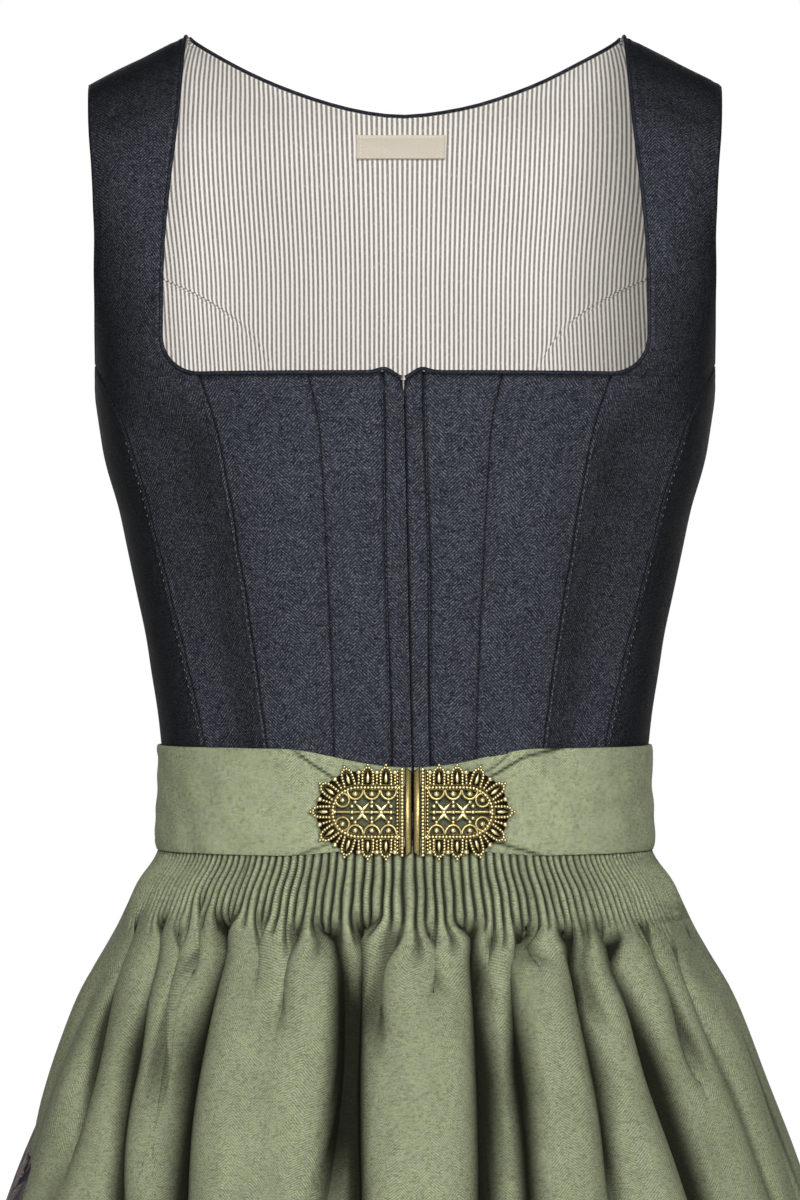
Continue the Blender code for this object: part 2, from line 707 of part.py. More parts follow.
def clasp_outline():
    """One half, from the meeting line out: scalloped sides and a scalloped round end."""
    side_length = 0.031
    scallop = 0.0015
    inner = CLASP_HALF_HEIGHT - scallop
    points = []
    for i in range(13):
        u = side_length * i / 12
        points.append((u, inner + scallop * abs(math.sin(3 * math.pi * i / 12))))
    for i in range(1, 28):
        turn = math.pi / 2 - math.pi * i / 28
        swell = scallop * abs(math.sin(3.5 * math.pi * i / 14))
        reach = CLASP_REACH - scallop - side_length + swell
        points.append((side_length + reach * math.cos(turn), (inner + swell) * math.sin(turn)))
    points += [(u, -v) for u, v in reversed(points[:13])]
    return points


def clasp_openings():
    """Round windows in the openwork, as (centre, centre, radii)."""
    windows = [(u, v, 0.0042, 0.0062) for u in (0.0135, 0.0245) for v in (-0.0095, 0.0095)]
    windows += [(0.0360, v, 0.0046, 0.0050) for v in (-0.0080, 0.0080)]
    return windows


def closed_spline(curve, points):
    spline = curve.splines.new("POLY")
    spline.points.add(len(points) - 1)
    for target, (u, v) in zip(spline.points, points):
        target.co = (u, v, 0.0, 1.0)
    spline.use_cyclic_u = True


def add_clasp_half(name, sign, material, collection, cutters):
    curve = bpy.data.curves.new(name + "_outline", "CURVE")
    curve.dimensions = "2D"
    curve.fill_mode = "BOTH"
    curve.extrude = CLASP_PLATE / 2
    closed_spline(curve, clasp_outline())
    for center_u, center_v, radius_u, radius_v in clasp_openings():
        turns = [2 * math.pi * i / 12 for i in range(12)]
        window = [
            (center_u + radius_u * math.cos(t), center_v + radius_v * math.sin(t)) for t in turns
        ]
        closed_spline(curve, window)
    outline = bpy.data.objects.new(name + "_outline", curve)
    collection.objects.link(outline)
    bpy.context.view_layer.update()
    evaluated = outline.evaluated_get(bpy.context.evaluated_depsgraph_get())
    mesh = bpy.data.meshes.new_from_object(evaluated)
    bpy.data.objects.remove(outline)
    mesh.name = name
    bm = bmesh.new()
    bm.from_mesh(mesh)
    bmesh.ops.remove_doubles(bm, verts=bm.verts, dist=1e-5)
    for vert in bm.verts:
        vert.co.z -= CLASP_BOW * vert.co.x ** 2
    bm.to_mesh(mesh)
    bm.free()
    mesh.materials.clear()
    mesh.materials.append(material)
    half = bpy.data.objects.new(name, mesh)
    collection.objects.link(half)

    # The flat hook bar down the meeting line stands proud of the plate
    bar_width = 0.0046
    bm = bmesh.new()
    bmesh.ops.create_cube(bm, size=1)
    for vert in bm.verts:
        vert.co.x = 0.0002 + bar_width * (vert.co.x + 0.5)
        vert.co.y *= 2 * (CLASP_HALF_HEIGHT - 0.0035)
        vert.co.z = (CLASP_BAR - CLASP_PLATE) / 2 + CLASP_BAR * vert.co.z
    bar_mesh = bpy.data.meshes.new(name + "_bar")
    bm.to_mesh(bar_mesh)
    bm.free()
    bar = bpy.data.objects.new(name + "_bar", bar_mesh)
    bar.hide_render = True
    bar.display_type = "WIRE"
    cutters.objects.link(bar)
    bar.parent = half
    union = half.modifiers.new("Bar", "BOOLEAN")
    union.operation = "UNION"
    union.object = bar

    # Stand the plate up facing -Y, with its meeting line on the centre of the clasp
    stand = math.radians(90)
    front = band_point(angle_at(CLASP_X, CLASP_Z), 0.42, 0.014).y
    half.location = (CLASP_X + sign * 0.0008, front - CLASP_CLEARANCE - CLASP_PLATE / 2, CLASP_Z)
    half.rotation_euler = (stand, 0 if sign > 0 else math.pi, 0)


# ---------------------------------------------------------------- the whole dress
def main():
    for item in list(bpy.data.objects):
        bpy.data.objects.remove(item)
    dress = bpy.data.collections.new("dirndl_dress")
    cutters = bpy.data.collections.new("cutters")
    for collection in (dress, cutters):
        bpy.context.scene.collection.children.link(collection)
    materials = {name: make_material(name) for name in COLORS}

    build_bodice(materials, dress)
    build_lining(materials, dress)
    build_piping(materials, dress)
    build_skirt(materials, dress)
    build_waistband(materials, dress)
    add_clasp_half("clasp_left", -1, materials["antique_brass"], dress, cutters)
    add_clasp_half("clasp_right", 1, materials["antique_brass"], dress, cutters)


main()
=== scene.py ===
import math
import random

import bmesh
import bpy
import numpy as np
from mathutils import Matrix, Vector


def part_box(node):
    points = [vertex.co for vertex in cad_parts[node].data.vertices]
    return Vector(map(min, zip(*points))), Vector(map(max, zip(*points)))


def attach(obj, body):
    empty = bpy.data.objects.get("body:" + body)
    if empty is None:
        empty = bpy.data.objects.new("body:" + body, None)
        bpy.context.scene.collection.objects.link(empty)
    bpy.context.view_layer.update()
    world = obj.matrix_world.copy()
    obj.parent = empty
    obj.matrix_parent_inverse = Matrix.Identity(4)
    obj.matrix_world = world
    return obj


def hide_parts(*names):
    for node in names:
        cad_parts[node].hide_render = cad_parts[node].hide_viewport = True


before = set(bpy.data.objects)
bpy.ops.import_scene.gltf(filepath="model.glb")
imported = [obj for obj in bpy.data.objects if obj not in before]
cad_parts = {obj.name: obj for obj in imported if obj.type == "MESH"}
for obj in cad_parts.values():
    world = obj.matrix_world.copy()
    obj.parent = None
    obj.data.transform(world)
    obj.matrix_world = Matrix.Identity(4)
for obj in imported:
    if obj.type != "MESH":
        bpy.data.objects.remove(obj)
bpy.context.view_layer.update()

scene = bpy.context.scene

# Sizes that the frame gives
bandLow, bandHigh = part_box("apron_waistband")
bandBottom, bandTop = bandLow.z, bandHigh.z
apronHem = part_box("apron_skirt")[0].z
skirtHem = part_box("skirt_front_left")[0].z


# Tables of sizes by height, and grids of points

def makeTable(columns, rows):
    ordered = sorted(rows)
    return {name: np.array([row[i] for row in ordered], float)
            for i, name in enumerate(columns.split())}


def smoothValues(table, column, heights):
    keys, values = table["height"], table[column]
    slopes = np.diff(values) / np.diff(keys)
    before = np.concatenate([slopes[:1], slopes])
    after = np.concatenate([slopes, slopes[-1:]])
    same = before * after > 0
    tangents = np.where(same, 2 * before * after / np.where(same, before + after, 1), 0)
    h = np.clip(heights, keys[0], keys[-1])
    i = np.clip(np.searchsorted(keys, h, side="right") - 1, 0, len(keys) - 2)
    span = keys[i + 1] - keys[i]
    t = (h - keys[i]) / span
    return (values[i] * (1 + 2 * t) * (1 - t) ** 2 + tangents[i] * span * t * (1 - t) ** 2
            + values[i + 1] * t * t * (3 - 2 * t) + tangents[i + 1] * span * t * t * (t - 1))


def smoothStep(value):
    value = np.clip(value, 0.0, 1.0)
    return value * value * (3 - 2 * value)


def unit(vectors):
    return vectors / np.maximum(np.linalg.norm(vectors, axis=-1, keepdims=True), 1e-12)


def gridNormals(points):
    around = np.gradient(points, axis=1)
    along = np.gradient(points, axis=0)
    return unit(np.cross(around, along))


def arcAlong(points, axis):
    steps = np.linalg.norm(np.diff(points, axis=axis), axis=-1)
    start = np.zeros_like(np.take(steps, [0], axis=axis))
    return np.concatenate([start, np.cumsum(steps, axis=axis)], axis=axis)


def softNoise(x, y, seed, waves=7, size=1.0):
    rng = random.Random(seed)
    total = np.zeros(np.broadcast(x, y).shape)
    for _ in range(waves):
        turn = rng.uniform(0, 2 * math.pi)
        rate = 2 * math.pi / size * rng.uniform(0.5, 1.6)
        total += np.sin(rate * (x * math.cos(turn) + y * math.sin(turn)) + rng.uniform(0, 6.3))
    return total / math.sqrt(waves)


# The form of the dress: half widths and depths by height, seams and edges by their x

form = dict(ridgeY=0.010, neckX=0.1135, slope=0.51, slopeEnds=-0.120, roundEnds=-0.030,
            bust=0.005, bustX=0.072, bustHeight=-0.216, neckline=-0.1795, corner=0.019,
            piping=0.0009, recess=0.0019, frontGap=0.0001, lean=0.021, leanFrom=-0.228,
            backDrop=0.0365, backPower=1.8, armholeBottom=-0.190, sideTip=-0.1735,
            waist=-0.400, seam=-0.00022, shoulderGap=0.0006)

bodiceSections = makeTable("height halfWidth front back squareness", [
    (-0.000, 0.1950, 0.0000, 0.0000, 4.00),
    (-0.030, 0.1860, 0.0500, 0.0470, 3.60),
    (-0.060, 0.1780, 0.0720, 0.0660, 3.20),
    (-0.110, 0.1700, 0.0960, 0.0840, 2.75),
    (-0.150, 0.1650, 0.1110, 0.0930, 2.50),
    (-0.190, 0.1612, 0.1230, 0.0990, 2.40),
    (-0.214, 0.1580, 0.1270, 0.1010, 2.35),
    (-0.249, 0.1490, 0.1250, 0.1000, 2.30),
    (-0.276, 0.1430, 0.1200, 0.0970, 2.28),
    (-0.316, 0.1345, 0.1110, 0.0910, 2.24),
    (-0.343, 0.1305, 0.1070, 0.0880, 2.20),
    (-0.372, 0.1268, 0.1050, 0.0860, 2.20),
    (-0.400, 0.1250, 0.1030, 0.0850, 2.20)])
skirtSections = makeTable("height halfWidth front back squareness", [
    (-0.400, 0.1250, 0.1030, 0.0850, 2.20),
    (-0.424, 0.1262, 0.1042, 0.0862, 2.20),
    (-0.439, 0.1330, 0.1100, 0.0915, 2.18),
    (-0.466, 0.1455, 0.1210, 0.1020, 2.15),
    (-0.500, 0.1650, 0.1380, 0.1200, 2.10),
    (-0.550, 0.1865, 0.1580, 0.1430, 2.08),
    (-0.600, 0.2055, 0.1760, 0.1630, 2.05),
    (-0.700, 0.2385, 0.2080, 0.1960, 2.03),
    (-0.800, 0.2665, 0.2350, 0.2240, 2.00),
    (-0.950, 0.3010, 0.2660, 0.2560, 2.00),
    (-1.100, 0.3290, 0.2900, 0.2810, 2.00)])

innerPrincess = makeTable("height x", [
    (-0.182, 0.0485), (-0.209, 0.0430), (-0.270, 0.0397), (-0.334, 0.0370), (-0.400, 0.0355)])
outerPrincess = makeTable("height x", [
    (-0.182, 0.1040), (-0.199, 0.0980), (-0.226, 0.0915), (-0.277, 0.0834), (-0.334, 0.0748),
    (-0.400, 0.0665)])
sideFrontSeam = makeTable("height x", [
    (-0.1735, 0.1608), (-0.201, 0.1465), (-0.238, 0.1343), (-0.286, 0.1220), (-0.335, 0.1107),
    (-0.400, 0.0955)])
strapInnerEdge = makeTable("height x", [
    (-0.000, 0.1135), (-0.044, 0.1160), (-0.083, 0.1199), (-0.1155, 0.1225), (-0.1413, 0.1232),
    (-0.1605, 0.1232)])
armholeFrontEdge = makeTable("height x", [
    (-0.000, 0.1650), (-0.060, 0.1618), (-0.085, 0.1607), (-0.1175, 0.1607), (-0.163, 0.1610),
    (-0.190, 0.1612)])
armholeBackEdge = makeTable("height x", [
    (-0.000, 0.1650), (-0.060, 0.1570), (-0.110, 0.1525), (-0.150, 0.1550), (-0.190, 0.1612)])
backSeam = makeTable("height x", [
    (-0.116, 0.1525), (-0.1325, 0.1100), (-0.149, 0.0860), (-0.170, 0.0720), (-0.210, 0.0600),
    (-0.300, 0.0500), (-0.400, 0.0450)])

backCorner = float(backSeam["height"][-1])


def sectionXY(sections, angle, height):
    halfWidth = smoothValues(sections, "halfWidth", height)
    power = 2 / smoothValues(sections, "squareness", height)
    facing = np.cos(angle)
    depth = np.where(facing >= 0, smoothValues(sections, "front", height),
                     smoothValues(sections, "back", height))
    x = np.sign(np.sin(angle)) * halfWidth * np.abs(np.sin(angle)) ** power
    y = form["ridgeY"] - np.sign(facing) * depth * np.abs(facing) ** power
    return x, y


def angleAt(x, height, back=False):
    halfWidth = smoothValues(bodiceSections, "halfWidth", height)
    squareness = smoothValues(bodiceSections, "squareness", height)
    angle = np.arcsin(np.minimum(np.abs(x) / halfWidth, 1.0) ** (squareness / 2))
    if back:
        angle = np.pi - angle
    return np.where(np.asarray(x) < 0, -angle, angle)


def bodicePoints(angle, height):
    height = np.minimum(height, -2e-7)
    x, y = sectionXY(bodiceSections, angle, height)
    # Near the ridge the shoulder is round, so its depth goes with the root of the drop
    ends = form["roundEnds"]
    near = np.minimum(height / ends, 1.0)
    lineShare = np.where(np.cos(angle) >= 0,
                         smoothValues(bodiceSections, "front", height)
                         / smoothValues(bodiceSections, "front", np.full_like(height, ends)),
                         smoothValues(bodiceSections, "back", height)
                         / smoothValues(bodiceSections, "back", np.full_like(height, ends)))
    factor = np.where(near < 1, np.sqrt(near) / np.maximum(lineShare, 1e-9), 1.0)
    y = form["ridgeY"] + (y - form["ridgeY"]) * factor
    across = (np.abs(x) - form["bustX"]) / 0.040
    along = (height - form["bustHeight"]) / 0.045
    y = y - np.where(np.cos(angle) > 0, form["bust"] * np.exp(-across ** 2 - along ** 2), 0)
    fall = form["slope"] * np.maximum(np.abs(x) - form["neckX"], 0)
    z = height - fall * smoothStep(1 - height / form["slopeEnds"])
    return np.stack([x, y, z], axis=-1)


def bodiceNormals(angle, height):
    step = 1e-4
    around = bodicePoints(angle + step, height) - bodicePoints(angle - step, height)
    along = bodicePoints(angle, height) - bodicePoints(angle, height - step)
    return unit(np.cross(around, along))


def frontEdgeX(height):
    return (form["leanFrom"] - height) * form["lean"]


def necklineHeight(distance):
    lift = 0.0017 * np.exp(-((distance - 0.0095) / 0.0045) ** 2)
    dip = 0.0028 * np.exp(-(distance / 0.0050) ** 2)
    return form["neckline"] + lift - dip


def backNeckHeight(x):
    share = np.minimum(np.abs(x), form["neckX"]) / form["neckX"]
    return -form["backDrop"] * (1 - share ** form["backPower"])


def neckEdge(recess, cornerRows, strapHeights):
    radius = form["corner"] + recess
    top = form["neckline"] + form["corner"]
    centerX = strapInnerEdge["x"][0] - form["corner"]
    turn = np.linspace(math.pi / 2, 0, cornerRows)
    heights = np.concatenate([top - radius * np.sin(turn), strapHeights])
    x = np.concatenate([centerX + radius * np.cos(turn),
                        smoothValues(strapInnerEdge, "x", strapHeights) + recess])
    return heights, x


# Cloth made from grids of points

def clusteredShares(count):
    inner = np.linspace(0.055, 0.945, count)
    ends = np.array([0, 0.012, 0.026, 0.040])
    return np.concatenate([ends, inner, 1 - ends[::-1]])


def addCloth(name, points, wall, finish, lining=None, uv=None, paintedShade=None):
    rows, columns = points.shape[:2]
    index = np.arange(rows * columns).reshape(rows, columns)
    quads = np.stack([index[:-1, :-1], index[:-1, 1:], index[1:, 1:], index[1:, :-1]], axis=-1)
    mesh = bpy.data.meshes.new(name)
    mesh.from_pydata(points.reshape(-1, 3).tolist(), [], quads.reshape(-1, 4).tolist())
    if uv is None:
        uv = np.stack([arcAlong(points, 1), arcAlong(points, 0)], axis=-1)
        uv[..., 0] -= uv[..., -1:, 0] / 2
    layer = mesh.uv_layers.new(name="cloth")
    corners = uv.reshape(-1, 2)[quads.reshape(-1)]
    layer.data.foreach_set("uv", corners.reshape(-1).astype(np.float32))
    # Painted shade, one value per point, which the cloth materials read
    if paintedShade is not None:
        attribute = mesh.attributes.new("paintedShade", "FLOAT", "POINT")
        attribute.data.foreach_set("value", np.clip(paintedShade, 0, 1).reshape(-1).astype(np.float32))
    mesh.shade_smooth()
    mesh.materials.append(finish)
    piece = bpy.data.objects.new(name, mesh)
    scene.collection.objects.link(piece)
    solid = piece.modifiers.new("Wall", "SOLIDIFY")
    solid.thickness = wall
    solid.offset = -1.0
    if lining:
        mesh.materials.append(lining)
        solid.material_offset = 1
    return piece


def gridArea(points):
    diagonalA = points[1:, 1:] - points[:-1, :-1]
    diagonalB = points[1:, :-1] - points[:-1, 1:]
    return float(np.linalg.norm(np.cross(diagonalA, diagonalB), axis=-1).sum() / 2)


def declareCloth(piece, points, node, flat=None):
    area = gridArea(points)
    if flat is None:
        across = arcAlong(points, 1)[:, -1].max()
        along = arcAlong(points, 0)[-1].max()
        flat = (across, along)
    size = flat[0] * flat[1]
    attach(piece, "root")
    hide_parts(node)
    sheetSizes[piece.name] = (round(flat[0], 3), round(flat[1], 3), round(min(area, size), 4))


sheetSizes = {}


# Materials

class Nodes:

    def __init__(self, tree):
        self.tree = tree

    def add(self, kind, **settings):
        node = self.tree.nodes.new(kind)
        for key, value in settings.items():
            setattr(node, key, value)
        return node

    def plug(self, socket, value):
        if isinstance(value, bpy.types.NodeSocket):
            self.tree.links.new(value, socket)
        else:
            socket.default_value = value

    def math(self, operation, *values):
        node = self.add("ShaderNodeMath", operation=operation)
        for socket, value in zip(node.inputs, values):
            self.plug(socket, value)
        return node.outputs[0]

    def times(self, first, second):
        return self.math("MULTIPLY", first, second)

    def plus(self, first, second):
        return self.math("ADD", first, second)

    def minus(self, first, second):
        return self.math("SUBTRACT", first, second)

    def wave(self, value, period):
        return self.math("SINE", self.times(value, 2 * math.pi / period))

    def between(self, value, low, high, toLow=0.0, toHigh=1.0):
        node = self.add("ShaderNodeMapRange", interpolation_type="SMOOTHSTEP")
        for socket, given in zip(node.inputs, (value, low, high, toLow, toHigh)):
            self.plug(socket, given)
        return node.outputs[0]

    def blend(self, factor, first, second, mode="MIX"):
        node = self.add("ShaderNodeMix", data_type="RGBA", blend_type=mode)
        self.plug(node.inputs[0], factor)
        self.plug(node.inputs[6], first)
        self.plug(node.inputs[7], second)
        return node.outputs[2]

    def noise(self, vector, scale, detail=2.0, roughness=0.5):
        node = self.add("ShaderNodeTexNoise")
        self.plug(node.inputs["Vector"], vector)
        self.plug(node.inputs["Scale"], scale)
        self.plug(node.inputs["Detail"], detail)
        self.plug(node.inputs["Roughness"], roughness)
        return node.outputs["Fac"]

    def stretched(self, vector, x, y, z=1.0):
        node = self.add("ShaderNodeMapping")
        self.plug(node.inputs["Vector"], vector)
        self.plug(node.inputs["Scale"], (x, y, z))
        return node.outputs["Vector"]

    def parts(self, vector):
        node = self.add("ShaderNodeSeparateXYZ")
        self.plug(node.inputs[0], vector)
        return node.outputs[0], node.outputs[1]

    def gray(self, value):
        node = self.add("ShaderNodeCombineColor")
        for socket in node.inputs:
            self.plug(socket, value)
        return node.outputs[0]

    def group(self, tree, **values):
        node = self.add("ShaderNodeGroup", node_tree=tree)
        for key, value in values.items():
            self.plug(node.inputs[key], value)
        return node.outputs


def startGroup(name, inputs, outputs):
    tree = bpy.data.node_groups.new(name, "ShaderNodeTree")
    for socketName, kind, default in inputs:
        socket = tree.interface.new_socket(socketName, in_out="INPUT", socket_type=kind)
        if default is not None:
            socket.default_value = default
    for socketName, kind in outputs:
        tree.interface.new_socket(socketName, in_out="OUTPUT", socket_type=kind)
    nodes = Nodes(tree)
    return tree, nodes, nodes.add("NodeGroupInput").outputs, nodes.add("NodeGroupOutput").inputs


def threadGroup():
    tree, n, given, out = startGroup("threads", [
        ("Vector", "NodeSocketVector", None), ("Pitch", "NodeSocketFloat", 0.0008),
        ("Zigzag", "NodeSocketFloat", 10.0)],
        [("Height", "NodeSocketFloat"), ("Twill", "NodeSocketFloat")])
    u, v = n.parts(given["Vector"])
    wobble = n.times(n.minus(n.noise(given["Vector"], 260.0), 0.5), 0.0008)
    u = n.plus(u, wobble)
    # Twill lines slant one way, then the other, and repeat every 2.2 threads
    slant = n.plus(n.math("PINGPONG", u, given["Zigzag"]), v)
    ridge = n.math("MULTIPLY_ADD", n.wave(n.math("DIVIDE", slant, given["Pitch"]), 2.2), 0.5, 0.5)
    warp = n.wave(n.math("DIVIDE", u, given["Pitch"]), 1.0)
    weft = n.wave(n.math("DIVIDE", v, given["Pitch"]), 1.0)
    n.plug(out["Height"], n.plus(n.times(ridge, 0.7), n.times(n.plus(warp, weft), 0.12)))
    n.plug(out["Twill"], ridge)
    return tree


def heatherGroup():
    tree, n, given, out = startGroup("heather", [
        ("Vector", "NodeSocketVector", None), ("Twill", "NodeSocketFloat", 0.5),
        ("Dark", "NodeSocketColor", None), ("Middle", "NodeSocketColor", None),
        ("Other", "NodeSocketColor", None), ("Light", "NodeSocketColor", None),
        ("Weft", "NodeSocketFloat", 1.0), ("Flecks", "NodeSocketFloat", 1.0)],
        [("Color", "NodeSocketColor"), ("Slub", "NodeSocketFloat")])
    where = given["Vector"]
    along = n.noise(n.stretched(where, 330.0, 330.0, 1500.0), 1.0, 2.0, 0.7)
    down = n.noise(n.stretched(where, 1500.0, 1500.0, 330.0), 1.0, 2.0, 0.7)
    cloud = n.noise(n.stretched(where, 55.0, 55.0, 26.0), 1.0, 4.0, 0.6)
    patch = n.noise(n.stretched(where, 300.0, 300.0, 160.0), 1.0, 3.0, 0.6)
    slub = n.between(n.noise(n.stretched(where, 90.0, 90.0, 1300.0), 1.0, 1.0), 0.66, 0.76)
    slub = n.times(slub, given["Weft"])
    mixed = n.math("MULTIPLY_ADD", along, 0.55, n.times(down, 0.45))
    base = n.blend(n.between(patch, 0.38, 0.64), given["Middle"], given["Other"])
    color = n.blend(n.between(mixed, 0.40, 0.54), given["Dark"], base)
    speck = n.between(n.noise(where, 1000.0, 1.0), 0.50, 0.62)
    speck = n.times(speck, n.math("MULTIPLY_ADD", given["Twill"], 0.8, 0.2))
    color = n.blend(n.times(speck, given["Flecks"]), color, given["Light"])
    color = n.blend(n.times(slub, 0.40), color, given["Light"])
    shade = n.between(cloud, 0.30, 0.70, 0.92, 1.07)
    n.plug(out["Color"], n.blend(1.0, color, n.gray(shade), "MULTIPLY"))
    n.plug(out["Slub"], n.plus(slub, mixed))
    return tree


threads = threadGroup()
heather = heatherGroup()


def startMaterial(name, roughness, metallic=0.0, sheen=0.0):
    material = bpy.data.materials.new(name)
    material.use_nodes = True
    nodes = Nodes(material.node_tree)
    shader = material.node_tree.nodes["Principled BSDF"]
    shader.inputs["Roughness"].default_value = roughness
    shader.inputs["Metallic"].default_value = metallic
    shader.inputs["Sheen Weight"].default_value = sheen
    shader.inputs["Sheen Roughness"].default_value = 0.5
    return material, nodes, shader


def clothUv(n):
    return n.add("ShaderNodeUVMap", uv_map="cloth").outputs[0]


def bump(n, shader, height, distance):
    node = n.add("ShaderNodeBump")
    node.inputs["Strength"].default_value = 1.0
    node.inputs["Distance"].default_value = distance
    n.plug(node.inputs["Height"], height)
    n.plug(shader.inputs["Normal"], node.outputs[0])


def wovenMaterial(name, look):
    material, n, shader = startMaterial(name, look["roughness"])
    shader.inputs["Specular IOR Level"].default_value = look["gloss"]
    uv = clothUv(n)
    weave = n.group(threads, Vector=uv, Pitch=look["pitch"], Zigzag=look["zigzag"])
    where = n.add("ShaderNodeTexCoord").outputs["Object"]
    mottle = n.group(heather, Vector=where, Twill=weave["Twill"], Dark=look["dark"],
                     Middle=look["middle"], Other=look["other"], Light=look["light"],
                     Weft=look["weft"], Flecks=look["flecks"])
    lines = n.between(weave["Twill"], 0.0, 1.0, 1 - look["lines"], 1 + look["lines"] * 0.6)
    color = n.blend(1.0, mottle["Color"], n.gray(lines), "MULTIPLY")
    # Painted shade: colour darkens between gathers, deep in folds, along seams and behind the clasp
    paintedShade = n.add("ShaderNodeAttribute", attribute_name="paintedShade").outputs["Fac"]
    color = n.blend(paintedShade, color, n.blend(1.0, color, look["shadow"], "MULTIPLY"))
    # Painted shade: the colour darkens where the surface turns away from the camera
    facing = n.add("ShaderNodeLayerWeight")
    facing.inputs["Blend"].default_value = 0.5
    turnedAwayShade = n.between(facing.outputs["Facing"], 0.03, 0.62, 1.0, 1 - look["turnedAwayShade"])
    n.plug(shader.inputs["Base Color"], n.blend(1.0, color, n.gray(turnedAwayShade), "MULTIPLY"))
    bump(n, shader, n.math("MULTIPLY_ADD", mottle["Slub"], 0.6, weave["Height"]), look["depth"])
    return material


def tickingMaterial():
    look = dict(pitch=0.00252, cream=(0.815, 0.780, 0.725, 1), stripe=(0.215, 0.195, 0.178, 1),
                share=0.50, soft=0.07, thread=0.0005)
    material, n, shader = startMaterial("liningTicking", 0.82, 0.0, 0.15)
    uv = clothUv(n)
    u, _ = n.parts(uv)
    wander = n.times(n.minus(n.noise(n.stretched(uv, 300.0, 60.0), 1.0), 0.5), 0.0003)
    place = n.math("FRACT", n.math("DIVIDE", n.plus(u, wander), look["pitch"]))
    distance = n.math("ABSOLUTE", n.minus(place, 0.5))
    half, soft = look["share"] / 2, look["soft"]
    stripe = n.between(distance, half - soft, half + soft, 1.0, 0.0)
    fleck = n.noise(n.stretched(uv, 1400.0, 500.0), 1.0, 2.0)
    stripe = n.times(stripe, n.between(fleck, 0.28, 0.50, 0.72, 1.0))
    color = n.blend(stripe, look["cream"], look["stripe"])
    weave = n.group(threads, Vector=uv, Pitch=look["thread"], Zigzag=10.0)
    n.plug(shader.inputs["Base Color"], color)
    bump(n, shader, n.plus(weave["Height"], fleck), 0.00008)
    return material


def labelMaterial():
    look = dict(tape=(0.60, 0.54, 0.44, 1), raised=(0.74, 0.69, 0.59, 1), speck=(0.45, 0.39, 0.30, 1),
                rib=0.0006, cross=0.0005)
    material, n, shader = startMaterial("labelTape", 0.75, 0.0, 0.2)
    uv = clothUv(n)
    u, v = n.parts(uv)
    ribs = n.math("MULTIPLY_ADD", n.wave(v, look["rib"]), 0.5, 0.5)
    cross = n.math("MULTIPLY_ADD", n.wave(u, look["cross"]), 0.5, 0.5)
    color = n.blend(n.times(n.times(ribs, cross), 0.55), look["tape"], look["raised"])
    specks = n.between(n.noise(uv, 900.0, 2.0), 0.55, 0.75, 0.0, 0.35)
    n.plug(shader.inputs["Base Color"], n.blend(specks, color, look["speck"]))
    bump(n, shader, n.plus(ribs, cross), 0.00010)
    return material


